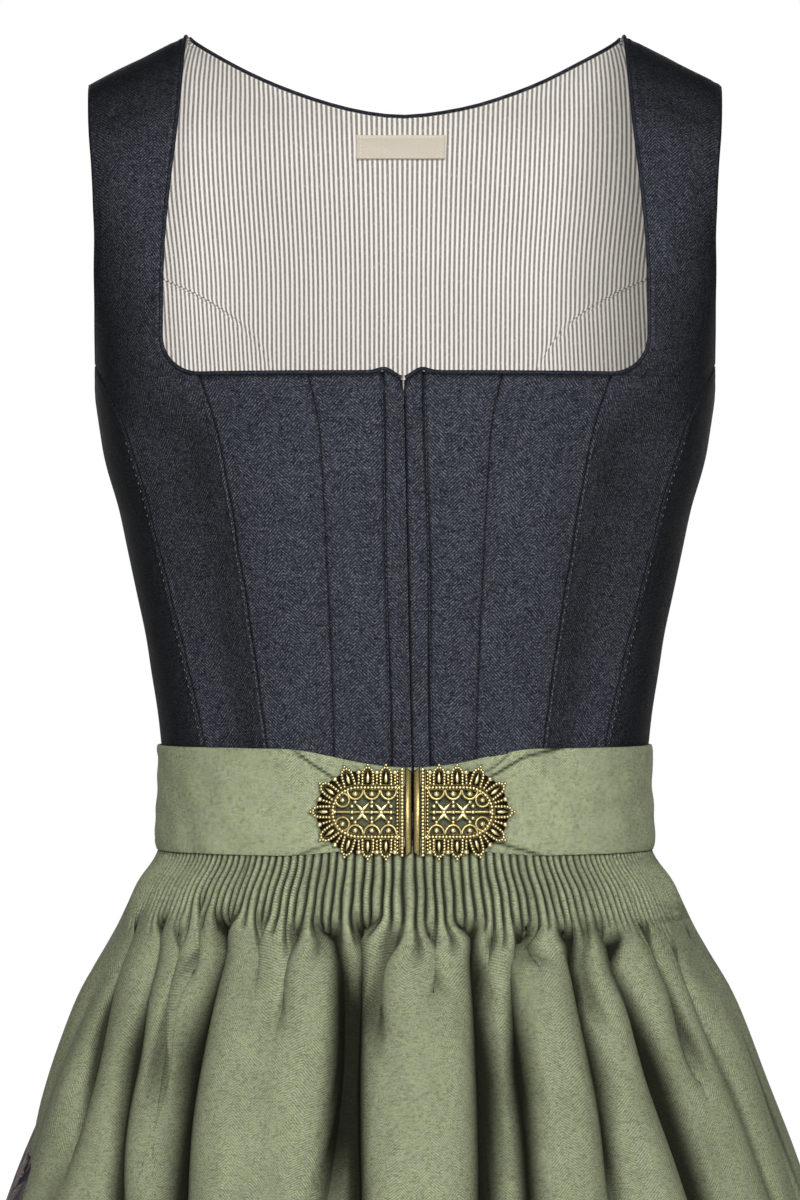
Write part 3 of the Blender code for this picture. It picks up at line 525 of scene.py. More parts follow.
def jacquardMaterial():
    look = dict(ground=(0.014, 0.015, 0.027, 1), figure=(0.185, 0.128, 0.108, 1),
                pale=(0.300, 0.225, 0.190, 1), width=0.064, height=0.088, wobble=0.0045,
                leafStep=0.0147, leafSlant=1.15, leafMiddle=0.0078, leafHalf=0.0056, leafTaper=-88.0,
                veins=0.0026, rosette=0.0084, petal=0.0016, petals=8.0, heart=0.0030, hatch=0.0012,
                thread=0.0006, darkestPaintedShade=0.12)
    material, n, shader = startMaterial("skirtJacquard", 0.60)
    shader.inputs["Specular IOR Level"].default_value = 0.18
    uv = clothUv(n)
    bend = n.add("ShaderNodeTexNoise")
    n.plug(bend.inputs["Vector"], uv)
    bend.inputs["Scale"].default_value = 60.0
    wobble = n.add("ShaderNodeVectorMath", operation="MULTIPLY_ADD")
    n.plug(wobble.inputs[0], bend.outputs["Color"])
    wobble.inputs[1].default_value = (look["wobble"], look["wobble"], 0.0)
    n.plug(wobble.inputs[2], uv)
    u, v = n.parts(wobble.outputs[0])
    # Half-drop repeat: every other column sits half a repeat lower
    stripe = n.math("DIVIDE", u, look["width"] / 2)
    odd = n.math("PINGPONG", n.math("FLOOR", stripe), 1.0)
    x = n.times(n.minus(n.math("FRACT", stripe), 0.5), look["width"] / 2)
    x = n.math("ABSOLUTE", x)
    dropped = n.plus(v, n.times(odd, look["height"] / 2))
    y = n.minus(n.math("FRACT", n.math("DIVIDE", dropped, look["height"])), 0.5)
    y = n.times(y, look["height"])
    # Leaves in pairs up a stem: each is a lens, with a mid rib and side veins
    tilted = n.minus(y, n.times(x, look["leafSlant"]))
    place = n.minus(n.math("FRACT", n.math("DIVIDE", tilted, look["leafStep"])), 0.5)
    offset = n.times(n.math("ABSOLUTE", place), look["leafStep"])
    along = n.minus(x, look["leafMiddle"])
    swell = n.math("MULTIPLY_ADD", n.times(along, along), look["leafTaper"], look["leafHalf"])
    leaf = n.between(n.minus(swell, offset), -0.0002, 0.0006)
    rib = n.between(offset, 0.0003, 0.0008, 1.0, 0.0)
    veins = n.between(n.wave(n.plus(x, n.times(offset, 1.2)), look["veins"]), 0.45, 0.80)
    leaf = n.times(leaf, n.minus(1.0, n.times(n.math("MAXIMUM", rib, veins), 0.8)))
    stem = n.between(x, 0.0005, 0.0011, 1.0, 0.0)
    # A rosette closes each spray
    radius = n.math("SQRT", n.plus(n.times(x, x), n.times(y, y)))
    turn = n.math("ARCTAN2", x, y)
    lobes = n.math("COSINE", n.times(turn, look["petals"]))
    edge = n.math("MULTIPLY_ADD", lobes, look["petal"], look["rosette"])
    rosette = n.between(n.minus(edge, radius), -0.0003, 0.0004)
    rays = n.between(n.math("COSINE", n.times(turn, look["petals"] * 2)), 0.55, 0.85)
    ring = n.math("ABSOLUTE", n.minus(radius, look["heart"]))
    holes = n.math("MAXIMUM", n.times(rays, n.between(radius, 0.0035, 0.0050)),
                   n.between(ring, 0.0004, 0.0009, 1.0, 0.0))
    bare = n.between(radius, look["rosette"] + 0.0020, look["rosette"] + 0.0028)
    figure = n.times(n.math("MAXIMUM", leaf, stem), bare)
    figure = n.math("MAXIMUM", figure, n.times(rosette, n.minus(1.0, n.times(holes, 0.85))))
    tone = n.noise(n.stretched(uv, 900.0, 260.0), 1.0, 3.0)
    warm = n.blend(n.between(tone, 0.35, 0.65), look["figure"], look["pale"])
    hatch = n.between(n.wave(n.plus(u, dropped), look["hatch"]), -0.2, 0.7, 0.75, 1.0)
    color = n.blend(n.times(figure, hatch), look["ground"], warm)
    # Painted shade: the colour darkens in the troughs of the folds and between the pleats
    paintedShade = n.add("ShaderNodeAttribute", attribute_name="paintedShade").outputs["Fac"]
    dim = n.between(paintedShade, 0.0, 1.0, 1.0, look["darkestPaintedShade"])
    n.plug(shader.inputs["Base Color"], n.blend(1.0, color, n.gray(dim), "MULTIPLY"))
    n.plug(shader.inputs["Roughness"], n.between(figure, 0.0, 1.0, 0.50, 0.66))
    weave = n.group(threads, Vector=uv, Pitch=look["thread"], Zigzag=10.0)
    bump(n, shader, n.plus(n.times(figure, 1.6), weave["Height"]), 0.00014)
    return material


def brassMaterial():
    look = dict(recess=(0.016, 0.012, 0.006, 1), worn=(0.315, 0.240, 0.085, 1), high=(0.81, 0.71, 0.38, 1))
    material, n, shader = startMaterial("antiqueBrass", 0.30, 0.9)
    # Lower parts take the dark colour and raised parts the bright one: partly patina in the recesses and
    # rubbed metal on top, partly painted shade and painted highlight
    tone = n.add("ShaderNodeAttribute", attribute_name="relief").outputs["Fac"]
    where = n.add("ShaderNodeTexCoord").outputs["Object"]
    cloud = n.noise(where, 900.0, 3.0, 0.6)
    lift = n.math("MULTIPLY_ADD", n.minus(cloud, 0.5), 0.6, tone)
    color = n.blend(n.between(lift, 0.15, 0.60), look["recess"], look["worn"])
    color = n.blend(n.between(lift, 0.60, 1.00), color, look["high"])
    n.plug(shader.inputs["Base Color"], color)
    n.plug(shader.inputs["Roughness"], n.between(lift, 0.2, 0.9, 0.70, 0.33))
    bump(n, shader, cloud, 0.00006)
    return material


bodiceTwill = wovenMaterial("bodiceTwill", dict(
    dark=(0.0070, 0.0080, 0.0125, 1), middle=(0.033, 0.037, 0.048, 1), other=(0.022, 0.026, 0.036, 1),
    light=(0.170, 0.178, 0.195, 1), shadow=(0.10, 0.10, 0.13, 1), pitch=0.00080, zigzag=0.0090,
    roughness=0.85, gloss=0.12, weft=0.5, flecks=0.36, lines=0.46, turnedAwayShade=0.74,
    depth=0.00020))
apronLinen = wovenMaterial("apronLinen", dict(
    dark=(0.190, 0.208, 0.118, 1), middle=(0.322, 0.359, 0.209, 1), other=(0.301, 0.327, 0.218, 1),
    light=(0.470, 0.500, 0.345, 1), shadow=(0.030, 0.030, 0.022, 1), pitch=0.00070,
    zigzag=0.0070, roughness=0.85, gloss=0.12, weft=0.7, flecks=0.45, lines=0.22,
    turnedAwayShade=0.10, depth=0.00014))
pipingTwill = wovenMaterial("pipingTwill", dict(
    dark=(0.007, 0.008, 0.012, 1), middle=(0.018, 0.020, 0.028, 1), other=(0.014, 0.017, 0.025, 1),
    light=(0.085, 0.090, 0.105, 1), shadow=(0.2, 0.2, 0.2, 1), pitch=0.00070, zigzag=10.0,
    roughness=0.85, gloss=0.12, weft=0.4, flecks=0.4, lines=0.25, turnedAwayShade=0.4,
    depth=0.00010))
liningTicking = tickingMaterial()
labelTape = labelMaterial()
skirtJacquard = jacquardMaterial()
antiqueBrass = brassMaterial()
print("materials ready")


# Bodice

mirror = np.array([-1.0, 1.0, 1.0])
bodice = dict(wall=0.0012, liningWall=0.0010, layerGap=0.0004, columnSpace=0.0028,
              rowSpace=0.0030, roll=0.00075, rollWidth=0.0013, ripple=0.00035,
              allowance=0.0042, allowanceWidth=0.0016, allowanceDepth=0.00035, shadeWidth=0.0007)
placket = dict(fold=0.0106, raised=0.00055, groove=0.00150, edgeRoll=0.0024, under=0.0024, slot=0.00030,
               pull=0.00030, hookSpace=0.026)


def trimmed(first, last, heights):
    # Both edges move by the seam's width, measured along the surface
    step = 2e-4
    start, end = bodicePoints(first, heights), bodicePoints(last, heights)
    speedFirst = np.linalg.norm(bodicePoints(first + step, heights) - start, axis=-1) / step
    speedLast = np.linalg.norm(end - bodicePoints(last - step, heights), axis=-1) / step
    return first + form["seam"] / speedFirst, last - form["seam"] / speedLast


def seamShade(distance, strength=0.9):
    return strength * np.exp(-(distance / bodice["shadeWidth"]) ** 2)


def panel(heights, first, last, shares, out=0.0, fall=0.0):
    angle = first[:, None] + (last - first)[:, None] * shares[None, :]
    height = np.broadcast_to(heights[:, None] if heights.ndim == 1 else heights, angle.shape)
    points = bodicePoints(angle, height)
    normals = bodiceNormals(angle, height)
    across = arcAlong(points, 1)
    width = across[:, -1:]
    push = np.full(angle.shape, float(out))
    roll = bodice["roll"] * smoothStep(width / 0.010)
    # Each edge rolls in to its seam, and the allowance beneath shows as a faint groove beside it
    for distance in (across, width - across):
        push -= roll * np.exp(-(distance / bodice["rollWidth"]) ** 2)
        groove = np.exp(-((distance - bodice["allowance"]) / bodice["allowanceWidth"]) ** 2)
        push -= bodice["allowanceDepth"] * groove
    push += bodice["ripple"] * softNoise(points[..., 0], points[..., 2], 5, 9, 0.05)
    # The panel falls away from its first seam, so the princess line stands as a soft ridge
    push -= fall * np.sin(np.pi * across / width) * smoothStep((-0.186 - height) / 0.030)
    # Painted shade along each seam, below the top edges
    paintedShade = seamShade(np.minimum(across, width - across)) * smoothStep((-0.172 - height) / 0.006)
    return points + normals * push[..., None], paintedShade


def rowHeights(bottom, top, space=None):
    count = max(int(abs(top - bottom) / (space or bodice["rowSpace"])), 3)
    return np.linspace(bottom, top, count + 1)


def ridgeRows(start, count):
    share = np.linspace(1, 0, count + 1)[1:]
    return start * share ** 2 - 4e-7


def sharesFor(width):
    return clusteredShares(max(int(width / bodice["columnSpace"]), 4))


def centerFront(side):
    top = form["neckline"] - form["recess"]
    heights = rowHeights(form["waist"], top)
    slot = placket["slot"] * smoothStep((heights - form["neckline"] + 0.0075) / 0.0015)
    meeting = side * frontEdgeX(heights) + form["frontGap"] / 2 + slot
    # The left edge runs on a little way under the right one, below the notch
    under = placket["under"] * smoothStep((form["neckline"] - 0.0080 - heights) / 0.0015) * (side < 0)
    edge = meeting - under
    seam = smoothValues(innerPrincess, "x", heights)
    shares = np.unique(np.concatenate([clusteredShares(13), np.linspace(0.15, 0.32, 13)]))
    x = edge[:, None] + (seam - form["seam"] - edge)[:, None] * shares[None, :]
    distance = x - meeting[:, None]
    # The rows close up under the shaped top edge
    rise = (necklineHeight(distance) - form["neckline"])
    height = heights[:, None] + rise * smoothStep((heights[:, None] - top + 0.020) / 0.020)
    angle = angleAt(x, height)
    points, normals = bodicePoints(angle, height), bodiceNormals(angle, height)
    fold = placket["fold"] + 0.0006 * np.sin(heights * 40.0)[:, None]
    push = placket["raised"] * smoothStep((fold - distance) / 0.0012)
    push -= placket["groove"] * np.exp(-((distance - fold) / 0.0009) ** 2)
    push -= placket["edgeRoll"] * np.exp(-(np.maximum(distance, 0) / 0.0009) ** 1.5)
    width = distance[:, -1:]
    push -= bodice["roll"] * np.exp(-((width - distance) / bodice["rollWidth"]) ** 2)
    push += bodice["ripple"] * softNoise(points[..., 0], points[..., 2], 5, 9, 0.05)
    # Slight pulls beside the hidden hooks
    hooks = np.sin((heights[:, None] + 0.20) * 2 * math.pi / placket["hookSpace"])
    push += placket["pull"] * hooks * np.exp(-distance / 0.012)
    # Painted shade along the placket's fold line and along its seam
    paintedShade = np.maximum(seamShade(distance - fold, 0.8), seamShade(width - distance))
    return points + normals * push[..., None], paintedShade


def midFront():
    heights = rowHeights(form["waist"], form["neckline"] - form["recess"])
    first = angleAt(smoothValues(innerPrincess, "x", heights), heights)
    last = angleAt(smoothValues(outerPrincess, "x", heights), heights)
    return panel(heights, *trimmed(first, last, heights), sharesFor(0.058))


def strapRows():
    return np.concatenate([rowHeights(-0.157, form["roundEnds"]), ridgeRows(form["roundEnds"], 14)])


def strapFront():
    body = rowHeights(form["waist"], form["neckline"] - form["recess"])[:-1]
    neckHeights, neckX = neckEdge(form["recess"], 14, strapRows())
    heights = np.concatenate([body, neckHeights])
    innerX = np.concatenate([smoothValues(outerPrincess, "x", body), neckX])
    outerX = np.where(heights < form["sideTip"], smoothValues(sideFrontSeam, "x", heights),
                      smoothValues(armholeFrontEdge, "x", heights))
    first, last = angleAt(innerX, heights), angleAt(outerX, heights)
    points, paintedShade = panel(heights, *trimmed(first, last, heights), sharesFor(0.055), fall=0.0050)
    return shoulderGap(points), paintedShade


def shoulderGap(points):
    points = points.copy()
    points[-1] += unit(points[-2] - points[-1]) * form["shoulderGap"]
    return points


def sideFront():
    heights = rowHeights(form["waist"], form["sideTip"] - 0.0006, 0.0024)
    first = angleAt(smoothValues(sideFrontSeam, "x", heights), heights)
    armhole = angleAt(smoothValues(armholeFrontEdge, "x", heights), heights)
    last = np.where(heights > form["armholeBottom"], armhole, math.pi / 2)
    return panel(heights, *trimmed(first, last, heights), sharesFor(0.05))


def sideBack(out=0.0):
    low = rowHeights(form["waist"], -0.150)
    heights = np.concatenate([low, rowHeights(-0.150, backCorner - 0.0004, 0.0013)[1:]])
    last = angleAt(smoothValues(backSeam, "x", heights), heights, back=True)
    armhole = angleAt(smoothValues(armholeBackEdge, "x", heights), heights, back=True)
    first = np.where(heights > form["armholeBottom"], armhole, math.pi / 2)
    return panel(heights, *trimmed(first, last, heights), sharesFor(0.09), out)


def centerBack(out=0.0):
    edgeTop = armholeBackEdge["x"][-1]
    neckShares = form["neckX"] / edgeTop * np.sin(np.linspace(0, math.pi / 2, 18))
    strapShares = np.linspace(form["neckX"] / edgeTop, 1.0, 13)[1:]
    half = np.concatenate([neckShares, strapShares[:-1], [0.992, 1.0]])
    shares = np.concatenate([-half[:0:-1], half])
    tops = backNeckHeight(shares * edgeTop)
    levels = np.concatenate([rowHeights(form["waist"], -0.160), rowHeights(-0.160, -0.112, 0.0016)[1:],
                             rowHeights(-0.112, -0.030)[1:], ridgeRows(-0.030, 14)])
    squeeze = smoothStep((levels + 0.123) / 0.123)
    height = np.minimum(levels[:, None] + tops[None, :] * squeeze[:, None], -4e-7)
    x = np.where(height < backCorner, smoothValues(backSeam, "x", height),
                 smoothValues(armholeBackEdge, "x", height)) - form["seam"]
    x = x * shares[None, :]
    angle = angleAt(x, height, back=True)[:, ::-1]
    height = height[:, ::-1]
    points, normals = bodicePoints(angle, height), bodiceNormals(angle, height)
    push = np.full(angle.shape, float(out))
    across = arcAlong(points, 1)
    seamRows = smoothStep((-0.118 - levels) / 0.004)[:, None]
    nearEdge = np.minimum(across, across[:, -1:] - across)
    push -= bodice["roll"] * np.exp(-(nearEdge / bodice["rollWidth"]) ** 2) * seamRows
    push += bodice["ripple"] * softNoise(points[..., 0], points[..., 2], 11, 9, 0.06)
    points = points + normals * push[..., None]
    neck = np.abs(points[-1, :, 0]) < form["neckX"] + 0.001
    distance = np.where(neck, form["recess"], form["shoulderGap"])
    # Rows near the neck slide down so that the edge leaves room for its piping
    total = arcAlong(points, 0)
    fromTop = total[-1:] - total
    shift = distance[None, :] * smoothStep(1 - fromTop / 0.020)
    down = np.gradient(points, axis=0)
    return points - unit(down) * shift[..., None]


def mirrorGrid(points):
    return points[:, ::-1] * mirror


def grainUv(points, fan=0.0):
    middle = points.shape[1] // 2
    across = arcAlong(points, 1)
    across = across - across[:, middle:middle + 1]
    along = arcAlong(points, 0)
    spread = 1 - fan * smoothStep((points[..., 2] + 0.13) / 0.13)
    return np.stack([across * spread, along + points[:1, :, 2]], axis=-1)


def buildBodice():
    for side, sign in (("left", -1), ("right", 1)):
        grids = {"center_front": centerFront(sign), "mid_front": midFront(),
                 "strap_front": strapFront(), "side_front": sideFront(), "side_back": sideBack()}
        for part, (points, paintedShade) in grids.items():
            if sign < 0:
                points, paintedShade = mirrorGrid(points), paintedShade[:, ::-1]
            node = f"bodice_{part}_{side}"
            piece = addCloth(f"{node}_cloth", points, bodice["wall"], bodiceTwill, liningTicking,
                             uv=grainUv(points), paintedShade=paintedShade)
            declareCloth(piece, points, node)
    points = centerBack()
    piece = addCloth("bodice_center_back_cloth", points, bodice["wall"], bodiceTwill, liningTicking,
                     uv=grainUv(points))
    declareCloth(piece, points, "bodice_center_back")


def buildLining():
    depth = -(bodice["wall"] + bodice["layerGap"])
    points = centerBack(depth)
    piece = addCloth("lining_center_back_cloth", points, bodice["liningWall"], liningTicking,
                     uv=grainUv(points, 0.10))
    declareCloth(piece, points, "lining_center_back")
    for side in ("left", "right"):
        points = sideBack(depth)[0]
        if side == "left":
            points = mirrorGrid(points)
        uv = np.stack([points[..., 0] * 1.12 + points[..., 2] * 0.06, points[..., 2]], axis=-1)
        piece = addCloth(f"lining_side_back_{side}_cloth", points, bodice["liningWall"], liningTicking,
                         uv=uv)
        declareCloth(piece, points, f"lining_side_back_{side}")


neckLabel = dict(width=0.0475, top=-0.0460, bottom=-0.0585, shift=-0.0022, wall=0.0006)


def buildLabel():
    depth = -(bodice["wall"] + bodice["liningWall"] + 2 * bodice["layerGap"]) - 0.0003
    heights = np.linspace(neckLabel["bottom"], neckLabel["top"], 12)
    x = np.linspace(0.5, -0.5, 40) * neckLabel["width"] + neckLabel["shift"]
    x = np.broadcast_to(x, (12, 40))
    height = np.broadcast_to(heights[:, None], x.shape)
    angle = angleAt(x, height, back=True)
    curl = 0.0005 * softNoise(x, height, 21, 5, 0.03)
    depth = depth - np.abs(curl) * 0.5
    points = bodicePoints(angle, height) + bodiceNormals(angle, height) * depth[..., None]
    piece = addCloth("neck_label_tape", points, neckLabel["wall"], labelTape)
    declareCloth(piece, points, "neck_label")
    return points


# Tubes and stitches

def curveFrom(name, paths):
    curve = bpy.data.curves.new(name, "CURVE")
    curve.dimensions = "3D"
    for path in paths:
        spline = curve.splines.new("POLY")
        spline.points.add(len(path) - 1)
        for target, point in zip(spline.points, path):
            target.co = (*point, 1.0)
    guide = bpy.data.objects.new(name, curve)
    scene.collection.objects.link(guide)
    return guide


def meshFrom(guide, name):
    bpy.context.view_layer.update()
    evaluated = guide.evaluated_get(bpy.context.evaluated_depsgraph_get())
    mesh = bpy.data.meshes.new_from_object(evaluated)
    mesh.name = name
    bpy.data.objects.remove(guide)
    return mesh


def addTube(name, paths, radius, finish, sides=3):
    guide = curveFrom(name + "_guide", paths)
    guide.data.bevel_depth = radius
    guide.data.bevel_resolution = sides
    guide.data.use_fill_caps = True
    mesh = meshFrom(guide, name)
    bm = bmesh.new()
    bm.from_mesh(mesh)
    bmesh.ops.remove_doubles(bm, verts=bm.verts, dist=1e-6)
    bmesh.ops.recalc_face_normals(bm, faces=bm.faces)
    bm.to_mesh(mesh)
    bm.free()
    mesh.materials.clear()
    mesh.materials.append(finish)
    mesh.shade_smooth()
    piece = bpy.data.objects.new(name, mesh)
    scene.collection.objects.link(piece)
    return piece


def tubeUv(piece):
    mesh = piece.data
    layer = mesh.uv_layers.new(name="cloth")
    for loop in mesh.loops:
        x, y, z = mesh.vertices[loop.vertex_index].co
        layer.data[loop.index].uv = (x + y, z)


def buildPiping():
    depth = -bodice["wall"] / 2
    radius = form["piping"] * 1.15
    for side, sign in (("left", -1), ("right", 1)):
        distance = np.concatenate([np.linspace(0.0008, 0.020, 24), np.linspace(0.023, 0.100, 26)])
        height = necklineHeight(distance) - form["piping"]
        x = sign * frontEdgeX(form["neckline"]) + distance
        upHeight, upX = neckEdge(form["piping"], 14, strapRows())
        height, x = np.concatenate([height, upHeight]), np.concatenate([x, upX])
        angle = angleAt(x, height)
        path = bodicePoints(angle, height) + bodiceNormals(angle, height) * depth
        path[-1] += unit(path[-2] - path[-1]) * 0.0003
        if sign < 0:
            path = path * mirror
        piece = addTube(f"neck_piping_front_{side}_cord", [path.tolist()], radius, pipingTwill)
        declarePiping(piece, f"neck_piping_front_{side}")
    points = centerBack(depth - 0.0006)
    neck = np.abs(points[-1, :, 0]) < form["neckX"] + 0.001
    edge, below = points[-1, neck], points[-4, neck]
    along = np.gradient(edge, axis=0)
    outward = edge - below
    outward -= unit(along) * (outward * unit(along)).sum(axis=-1, keepdims=True)
    path = edge + unit(outward) * (form["recess"] - form["piping"])
    path = path[np.abs(path[:, 0]) < form["neckX"] - 0.0004]
    piece = addTube("neck_piping_back_cord", [path.tolist()], radius * 0.85, pipingTwill)
    declarePiping(piece, "neck_piping_back")


def stitchTree():
    tree = bpy.data.node_groups.new("stitchRow", "GeometryNodeTree")
    face = tree.interface
    face.new_socket("Geometry", in_out="INPUT", socket_type="NodeSocketGeometry")
    sockets = {}
    for name, value in (("Spacing", 0.003), ("Length", 0.002), ("Thickness", 0.0004), ("Thread", None)):
        kind = "NodeSocketMaterial" if value is None else "NodeSocketFloat"
        socket = face.new_socket(name, in_out="INPUT", socket_type=kind)
        if value is not None:
            socket.default_value = value
        sockets[name] = socket.identifier
    face.new_socket("Geometry", in_out="OUTPUT", socket_type="NodeSocketGeometry")
    nodes, link = tree.nodes, tree.links.new
    given = nodes.new("NodeGroupInput").outputs
    result = nodes.new("NodeGroupOutput").inputs
    toPoints = nodes.new("GeometryNodeCurveToPoints")
    toPoints.mode = "LENGTH"
    link(given["Geometry"], toPoints.inputs["Curve"])
    link(given["Spacing"], toPoints.inputs["Length"])
    ball = nodes.new("GeometryNodeMeshIcoSphere")
    ball.inputs["Radius"].default_value = 0.5
    ball.inputs["Subdivisions"].default_value = 2
    size = nodes.new("ShaderNodeCombineXYZ")
    link(given["Thickness"], size.inputs[0])
    link(given["Thickness"], size.inputs[1])
    link(given["Length"], size.inputs[2])
    place = nodes.new("GeometryNodeInstanceOnPoints")
    link(toPoints.outputs["Points"], place.inputs["Points"])
    link(ball.outputs["Mesh"], place.inputs["Instance"])
    turn = nodes.new("FunctionNodeAlignRotationToVector")
    turn.axis = "Z"
    link(toPoints.outputs["Tangent"], turn.inputs["Vector"])
    link(turn.outputs["Rotation"], place.inputs["Rotation"])
    link(size.outputs[0], place.inputs["Scale"])
    real = nodes.new("GeometryNodeRealizeInstances")
    link(place.outputs["Instances"], real.inputs["Geometry"])
    finish = nodes.new("GeometryNodeSetMaterial")
    link(real.outputs["Geometry"], finish.inputs["Geometry"])
    link(given["Thread"], finish.inputs["Material"])
    link(finish.outputs["Geometry"], result["Geometry"])
    return tree, sockets


stitchRow, stitchSockets = stitchTree()


def strungMesh(name, paths, spacing, length, thickness, material):
    guide = curveFrom(name + "_guide", paths)
    row = guide.modifiers.new("Row", "NODES")
    row.node_group = stitchRow
    for key, value in (("Spacing", spacing), ("Length", length), ("Thickness", thickness),
                       ("Thread", material)):
        row[stitchSockets[key]] = value
    mesh = meshFrom(guide, name)
    if not mesh.materials:
        mesh.materials.append(material)
    mesh.shade_smooth()
    return mesh


def addPiece(name, mesh):
    piece = bpy.data.objects.new(name, mesh)
    scene.collection.objects.link(piece)
    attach(piece, "root")
    return piece


def declarePiping(piece, node):
    tubeUv(piece)
    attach(piece, "root")
    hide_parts(node)


def threadMaterial(name, color):
    material, n, shader = startMaterial(name, 0.6)
    where = n.add("ShaderNodeTexCoord").outputs["Object"]
    twist = n.noise(where, 2600.0, 2.0)
    pale = tuple(min(c * 1.5, 1) for c in color[:3]) + (1,)
    n.plug(shader.inputs["Base Color"], n.blend(twist, color, pale))
    bump(n, shader, twist, 0.00005)
    return material


stitches = dict(thick=0.00042, foldSpace=0.0028, foldLength=0.0021, foldDepth=0.00038,
                seamSpace=0.0042, seamLength=0.0013, seamDepth=0.00020,
                labelSpace=0.0019, labelLength=0.0013, labelThick=0.0003)


def buildStitches(labelPoints):
    navyThread = threadMaterial("navyThread", (0.030, 0.034, 0.048, 1))
    creamThread = threadMaterial("creamThread", (0.62, 0.56, 0.45, 1))
    for side, sign in (("left", -1), ("right", 1)):
        height = rowHeights(-0.372, -0.190, 0.004)
        x = sign * frontEdgeX(height) + form["frontGap"] / 2 + placket["fold"]
        angle = angleAt(x, height)
        path = bodicePoints(angle, height) - bodiceNormals(angle, height) * stitches["foldDepth"]
        if sign < 0:
            path = path * mirror
        name = f"front_fold_stitches_{side}"
        mesh = strungMesh(name, [path.tolist()], stitches["foldSpace"], stitches["foldLength"],
                          stitches["thick"], navyThread)
        addPiece(name, mesh)
    paleThread = threadMaterial("paleThread", (0.085, 0.090, 0.105, 1))
    for side, sign in (("left", -1), ("right", 1)):
        paths = []
        for seam, inward in ((sideFrontSeam, 0.0012), (outerPrincess, 0.0010)):
            height = rowHeights(-0.372, -0.215, 0.004)
            angle = angleAt(smoothValues(seam, "x", height) + inward, height)
            path = bodicePoints(angle, height) - bodiceNormals(angle, height) * stitches["seamDepth"]
            paths.append((path * mirror if sign < 0 else path).tolist())
        mesh = strungMesh(f"seam_stitches_{side}", paths, stitches["seamSpace"], stitches["seamLength"],
                          stitches["thick"], paleThread)
        addPiece(f"seam_stitches_{side}", mesh)
    inner = labelPoints - gridNormals(labelPoints) * (neckLabel["wall"] + 0.00012)
    edges = (inner[1:-1, 2], inner[1:-1, -3], inner[1, 2:-2], inner[-2, 2:-2])
    mesh = strungMesh("label_stitches", [edge.tolist() for edge in edges], stitches["labelSpace"],
                      stitches["labelLength"], stitches["labelThick"], creamThread)
    addPiece("label_stitches", mesh)


buildBodice()
buildLining()
labelPoints = buildLabel()
buildPiping()
buildStitches(labelPoints)
print("bodice ready")


# Skirt and apron

apronEdges = makeTable("height left right", [
    (-0.424, -97, 100), (-0.500, -92, 97), (-0.550, -83, 95), (-0.600, -71, 92),
    (-0.680, -66, 90), (-1.100, -62, 86)])

# Troughs of the folds. Angles are in degrees round the body from the front,
# where a trough begins and at 0.6 m down. Its two slopes have their own widths.
foldColumns = "startAngle lowAngle leftWidth rightWidth depth startHeight endHeight"
folds = [dict(zip(foldColumns.split(), row)) for row in (
    (-172, -173, 0.012, 0.016, 0.012, -0.470, -0.760),
    (-164, -165, 0.022, 0.012, 0.026, -0.430, -9.0),
    (-155, -156, 0.010, 0.014, 0.010, -0.460, -0.700),
    (-146, -147, 0.012, 0.020, 0.022, -0.430, -9.0),
    (-137, -139, 0.012, 0.010, 0.010, -0.450, -0.660),
    (-128, -130, 0.018, 0.012, 0.026, -0.430, -9.0),
    (-117, -118, 0.010, 0.014, 0.012, -0.450, -9.0),
    (-104, -103, 0.014, 0.010, 0.012, -0.460, -0.800),
    (-82, -79, 0.010, 0.010, 0.005, -0.470, -0.640),
    (-68, -56, 0.012, 0.009, 0.013, -0.458, -0.600),
    (-56, -45, 0.011, 0.006, 0.022, -0.456, -9.0),
    (-50, -40, 0.006, 0.006, 0.008, -0.460, -0.580),
    (-45, -42, 0.006, 0.005, 0.007, -0.446, -0.500),
    (-36, -31, 0.020, 0.006, 0.032, -0.452, -9.0),
    (-28, -26, 0.005, 0.005, 0.005, -0.452, -0.500),
    (-20, -23, 0.009, 0.005, 0.009, -0.456, -0.520),
    (-15, -13, 0.006, 0.014, 0.021, -0.456, -0.650),
    (-6, -4, 0.013, 0.005, 0.025, -0.453, -9.0),
    (-1, -3, 0.010, 0.006, 0.009, -0.458, -0.540),
    (4, 6, 0.005, 0.008, 0.007, -0.458, -0.505),
    (10, 8.5, 0.006, 0.015, 0.030, -0.455, -9.0),
    (16, 17, 0.006, 0.008, 0.008, -0.460, -0.515),
    (23, 21, 0.011, 0.005, 0.025, -0.457, -9.0),
    (26, 26, 0.004, 0.004, 0.006, -0.458, -0.490),
    (31, 30, 0.007, 0.013, 0.020, -0.458, -0.660),
    (36, 37, 0.005, 0.006, 0.007, -0.456, -0.530),
    (40, 42, 0.004, 0.006, 0.008, -0.456, -0.560),
    (42, 43, 0.006, 0.019, 0.030, -0.462, -9.0),
    (53, 59, 0.006, 0.012, 0.011, -0.458, -0.560),
    (62, 66, 0.008, 0.008, 0.006, -0.470, -0.800),
    (74, 77, 0.008, 0.010, 0.012, -0.464, -0.680),
    (84, 84, 0.010, 0.010, 0.007, -0.475, -9.0),
    (104, 104, 0.012, 0.014, 0.014, -0.455, -9.0),
    (117, 118, 0.010, 0.012, 0.010, -0.460, -0.720),
    (129, 131, 0.012, 0.022, 0.026, -0.430, -9.0),
    (138, 139, 0.010, 0.010, 0.010, -0.450, -0.680),
    (147, 146, 0.018, 0.012, 0.022, -0.430, -9.0),
    (155, 155, 0.010, 0.012, 0.010, -0.460, -0.700),
    (163, 164, 0.012, 0.020, 0.022, -0.430, -9.0),
    (172, 173, 0.014, 0.010, 0.012, -0.470, -0.820))]
lowHeight = -0.600
foldForm = dict(rise=0.026, growth=0.45, fade=0.080, scale=1.25, lip=0.13, slide=0.42, narrowest=0.0032,
                narrowestWide=0.0040, most=0.065)

